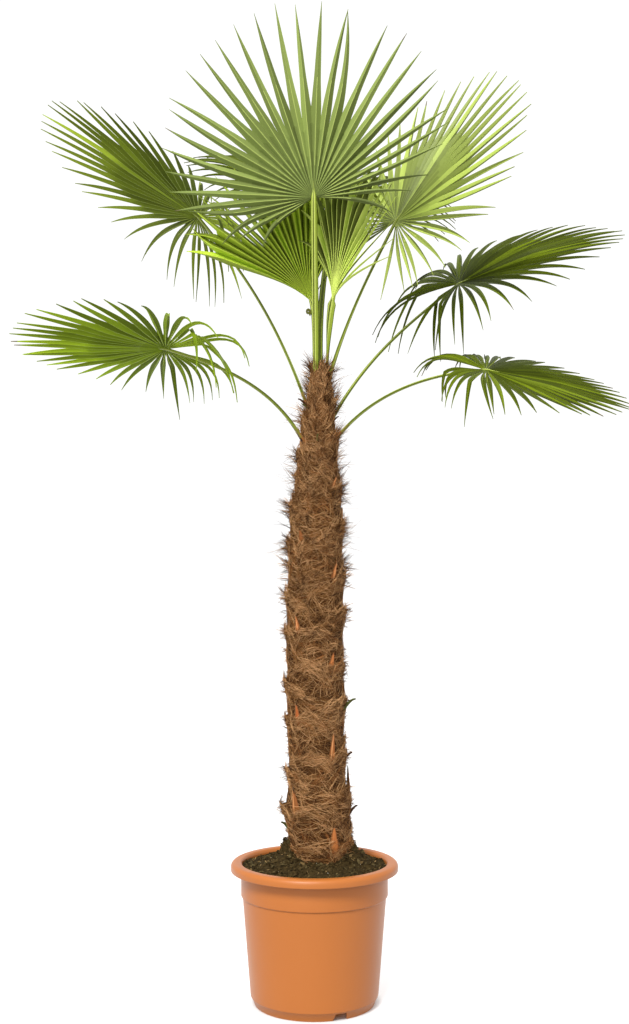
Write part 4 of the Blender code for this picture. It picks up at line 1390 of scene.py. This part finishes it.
def stalk_slot(stripes, corner, way, down, brown, ragged):
    """A stalk's colour by where a face points, how far it is from the foot, and how far brown goes."""
    if down < brown * (0.6 + 0.5 * ragged):
        return 5 if sin(way) < -0.3 or ragged > 0.7 else 4
    if down < brown * (1.0 + 0.7 * ragged):
        return 5 if sin(way) < -0.6 else 4
    if down < brown * (1.8 + 1.2 * ragged) and sin(way) < 0.3:
        return 3
    return stripes[corner]


def make_stalk(leaf, finishes):
    """A leaf's stalk, from a broad brown foot in the trunk to a small green knob at the hub."""
    along, across, normal = fan_frame(leaf)
    hub, start = np.array(leaf.hub), np.array(leaf.root)
    end = hub - along * 0.003
    axis = at_trunk(0.0, start[2], 0.0)
    outward = unit(start - axis)
    distance = np.linalg.norm(end - start)
    leave = unit(unit(end - start) + UP * leaf.start_rise)
    arrive = unit(unit(end - start) * (1 - leaf.arrive) + along * leaf.arrive)
    first, second = start + leave * distance * 0.35, end - arrive * distance * 0.35
    low = start - leave * ROOT_DEPTH
    side_from = unit(np.cross(leave, outward))
    if side_from.dot(across) < 0:
        side_from = -side_from
    turns = [2 * pi * corner / STALK_SIDES for corner in range(STALK_SIDES)]
    rings, downs = [], []
    for index in range(STALK_RINGS):
        share = index / (STALK_RINGS - 1)
        keep = 1.0 - share
        centre = keep**3 * low + 3 * keep**2 * share * first + 3 * keep * share**2 * second + share**3 * end
        centre[0] -= leaf.bow * 4.0 * share * keep
        heading = unit(keep**2 * (first - low) + 2 * keep * share * (second - first) + share**2 * (end - second))
        side = side_from * keep + across * share
        side = unit(side - side.dot(heading) * heading)
        off = np.cross(side, heading)
        foot = max(0.0, 1.0 - share * distance / 0.10) ** 1.5
        knob = float(smooth_step((share * distance - distance + 0.020) / 0.016))
        broad = 1.0 + (leaf.broad - 1.0) * min(1.0, 16.0 * keep)
        wide = STALK_WIDTH * broad * (0.5 - 0.13 * share) * (1.0 + leaf.flare * foot + 0.15 * knob)
        thick = STALK_THICKNESS * (0.5 - 0.10 * share) * (1.0 - 0.10 * knob)
        rings.append([
            centre + side * wide * cos(turn) + off * thick * sin(turn) * (0.45 if sin(turn) > 0 else 1.0)
            for turn in turns
        ])
        downs.append(share * distance)
    for reach, size in ((0.004, 0.75), (0.012, 0.45), (0.022, 0.25), (0.034, 0.08)):
        wide, thick = STALK_WIDTH * 0.48 * size, STALK_THICKNESS * 0.36 * size
        centre = hub + along * reach
        rings.append([centre + across * wide * cos(turn) + normal * thick * sin(turn) for turn in turns])
        downs.append(distance)
    points = [point for ring in rings for point in ring]
    rough = np.random.default_rng(len(leaf.name) * 7)
    ragged = rough.random(STALK_SIDES)
    brown = 0.026 if start[2] < BROWN_FOOT_HEIGHT else 0.007
    stripes = SHADED_STRIPES if leaf.shaded else STALK_STRIPES
    slots = [5, 0]
    for down in downs[:-1]:
        slots += [
            stalk_slot(stripes, corner, turn + pi / STALK_SIDES, down, brown, ragged[corner])
            for corner, turn in enumerate(turns)
        ]
    stalk = make_piece(f"rib_{leaf.name}", points, loft(rings), finishes, slots, sharp=50)
    settle(stalk, "leaf_stalk", f"stalk_{leaf.name}")


def make_curl(finish):
    """The dried tip that curls out of the left young leaf's stalk."""
    rings = []
    for step in range(14):
        share = step / 13
        turn = radians(-60 + 500 * share)
        size, wide, thick = 0.0046 - 0.0028 * share, 0.0042 - 0.0018 * share, 0.0026 - 0.0008 * share
        way = np.array([cos(turn), 0.0, sin(turn)])
        centre = np.array(CURL_PLACE) + way * (size, 0.0, size * 1.4) + UP * 0.004 * share
        across = np.array([0.0, 1.0, 0.0])
        rings.append([
            centre + across * wide * a + way * thick * b for a, b in ((-1, -1), (-1, 1), (1, 1), (1, -1))
        ])
    points = [point for ring in rings for point in ring]
    curl = make_piece("dried_curl", points, loft(rings), [finish], sharp=40)
    settle(curl, "leaf_stalk", "stalk_young_left")


class PALM_OT_stalks(bpy.types.Operator):
    """Builds every leaf's stalk"""

    bl_idname = "palm.stalks"
    bl_label = "Stalks"

    def execute(self, context):
        green = tuple(context.scene.palm_leaf.stalk)
        husk = tuple(context.scene.palm_trunk.husk)
        dark = tuple(context.scene.palm_trunk.dark)
        middle = tuple(context.scene.palm_trunk.middle)
        finishes = [
            plain_finish("green stalk", shade(green, 0.85), 0.42, 0.2),
            plain_finish("pale stalk", between(green, (0.62, 0.68, 0.18), 0.5), 0.42, 0.2),
            plain_finish("dark stalk edge", shade(green, 0.30), 0.45, 0.12),
            plain_finish("ripening stalk", between(shade(green, 0.6), husk, 0.2), 0.50, 0.2),
            plain_finish("brown stalk foot", between(husk, middle, 0.6), 0.65),
            plain_finish("dark stalk foot", shade(dark, 1.1), 0.70),
        ]
        for leaf in LEAVES:
            make_stalk(leaf, finishes)
        make_curl(plain_finish("dried curl", between(shade(green, 0.45), dark, 0.5), 0.6))
        return {"FINISHED"}


class PALM_OT_fronds(bpy.types.Operator):
    """Builds every leaf's blade of pleated leaflets"""

    bl_idname = "palm.fronds"
    bl_label = "Fronds"

    def execute(self, context):
        settings = context.scene.palm_leaf
        finishes = {}
        for leaf in LEAVES:
            if leaf.tint not in finishes:
                finishes[leaf.tint] = blade_finishes(settings, leaf.tint)
            make_fan(leaf, finishes[leaf.tint])
        return {"FINISHED"}


# Stage


def area_light(name, place, target, size, power):
    data = bpy.data.lights.new(name, "AREA")
    data.shape = "SQUARE"
    data.size = size
    data.energy = power
    light = bpy.data.objects.new(name, data)
    light.location = place
    light.rotation_euler = (Vector(target) - Vector(place)).to_track_quat("-Z", "Y").to_euler()
    bpy.context.scene.collection.objects.link(light)


class PALM_OT_stage(bpy.types.Operator):
    """Sets the pale floor, the soft studio light and the camera"""

    bl_idname = "palm.stage"
    bl_label = "Stage"

    def execute(self, context):
        settings = context.scene.palm_stage
        paint = Paint("floor")
        # Painted contact shadow: the floor's glow goes black under the pot and fades in just round its foot.
        place = paint.node("ShaderNodeTexCoord", output="Object")
        away = paint.node("ShaderNodeVectorMath", {"operation": "LENGTH"}, {0: place}, 1)
        glow = paint.mix(paint.spread(away, FOOT_RADIUS - 0.004, FOOT_RADIUS + 0.020), (0, 0, 0), (1, 1, 1))
        paint.feed(paint.shader.inputs["Emission Color"], glow)
        finish = paint.finish((*settings.floor, 1.0), 0.9, Emission_Strength=settings.floor_glow)
        points = [(-150, -150, 0), (150, -150, 0), (150, 150, 0), (-150, 150, 0)]
        floor = make_piece("floor", points, [(0, 1, 2, 3)], [finish])
        floor.visible_diffuse = False
        floor.visible_shadow = False
        self.studio(context.scene)
        area_light("key", (-3.5, -10.0, 11.5), (0, 0, 1.0), 4.5, settings.key_power)
        area_light("fill", (-2.0, -7.0, 1.9), (0, 0, 1.3), 2.0, settings.fill_power)
        data = bpy.data.cameras.new("camera")
        data.sensor_width = 36.0
        data.lens = settings.lens
        camera = bpy.data.objects.new("camera", data)
        camera.location = (0.0, -settings.camera_distance, settings.camera_height)
        camera.rotation_euler = (pi / 2 + settings.camera_pitch, 0.0, 0.0)
        context.scene.collection.objects.link(camera)
        context.scene.camera = camera
        return {"FINISHED"}

    def studio(self, scene):
        """A pale studio: white round the horizon, softer above it and dim below."""
        scene.world = bpy.data.worlds.new("studio")
        paint = Paint.of_world(scene.world)
        way = paint.node("ShaderNodeTexCoord", output="Generated")
        height = paint.node("ShaderNodeSeparateXYZ", None, {0: way}, 2)
        strength = (
            0.55 + 0.52 * paint.spread(height, -0.05, -0.02)
            - 0.30 * paint.spread(height, 0.40, 0.55) + 0.30 * paint.spread(height, 0.60, 0.90)
        )
        paint.feed(paint.shader.inputs["Strength"], strength)
        paint.shader.inputs["Color"].default_value = (1.0, 1.0, 1.0, 1.0)
        scene.view_settings.view_transform = "Standard"


class PALM_PT_sidebar(bpy.types.Panel):
    """Lists the palm's pieces in the sidebar"""

    bl_idname = "PALM_PT_sidebar"
    bl_label = "Potted palm"
    bl_space_type = "VIEW_3D"
    bl_region_type = "UI"
    bl_category = "Palm"

    def draw(self, context):
        for group, _ in SETTINGS:
            box = self.layout.box()
            settings = getattr(context.scene, group)
            for key in settings.__annotations__:
                box.prop(settings, key)
        for operator in OPERATORS:
            self.layout.operator(operator.bl_idname)


SETTINGS = (
    ("palm_pot", PALM_PG_pot),
    ("palm_soil", PALM_PG_soil),
    ("palm_trunk", PALM_PG_trunk),
    ("palm_leaf", PALM_PG_leaf),
    ("palm_stage", PALM_PG_stage),
)
OPERATORS = (
    PALM_OT_stage,
    PALM_OT_pot,
    PALM_OT_soil,
    PALM_OT_trunk,
    PALM_OT_fibre,
    PALM_OT_old_bases,
    PALM_OT_stalks,
    PALM_OT_fronds,
)


def register():
    for name, group in SETTINGS:
        bpy.utils.register_class(group)
        setattr(bpy.types.Scene, name, bpy.props.PointerProperty(type=group))
    for item in (*OPERATORS, PALM_PT_sidebar):
        bpy.utils.register_class(item)


def unregister():
    for item in (PALM_PT_sidebar, *reversed(OPERATORS)):
        bpy.utils.unregister_class(item)
    for name, group in reversed(SETTINGS):
        delattr(bpy.types.Scene, name)
        bpy.utils.unregister_class(group)


def main():
    register()
    bpy.ops.palm.stage()
    bpy.ops.palm.pot()
    bpy.ops.palm.soil()
    bpy.ops.palm.trunk()
    bpy.ops.palm.fibre()
    bpy.ops.palm.old_bases()
    bpy.ops.palm.stalks()
    bpy.ops.palm.fronds()
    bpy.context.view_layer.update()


if __name__ == "__main__":
    main()
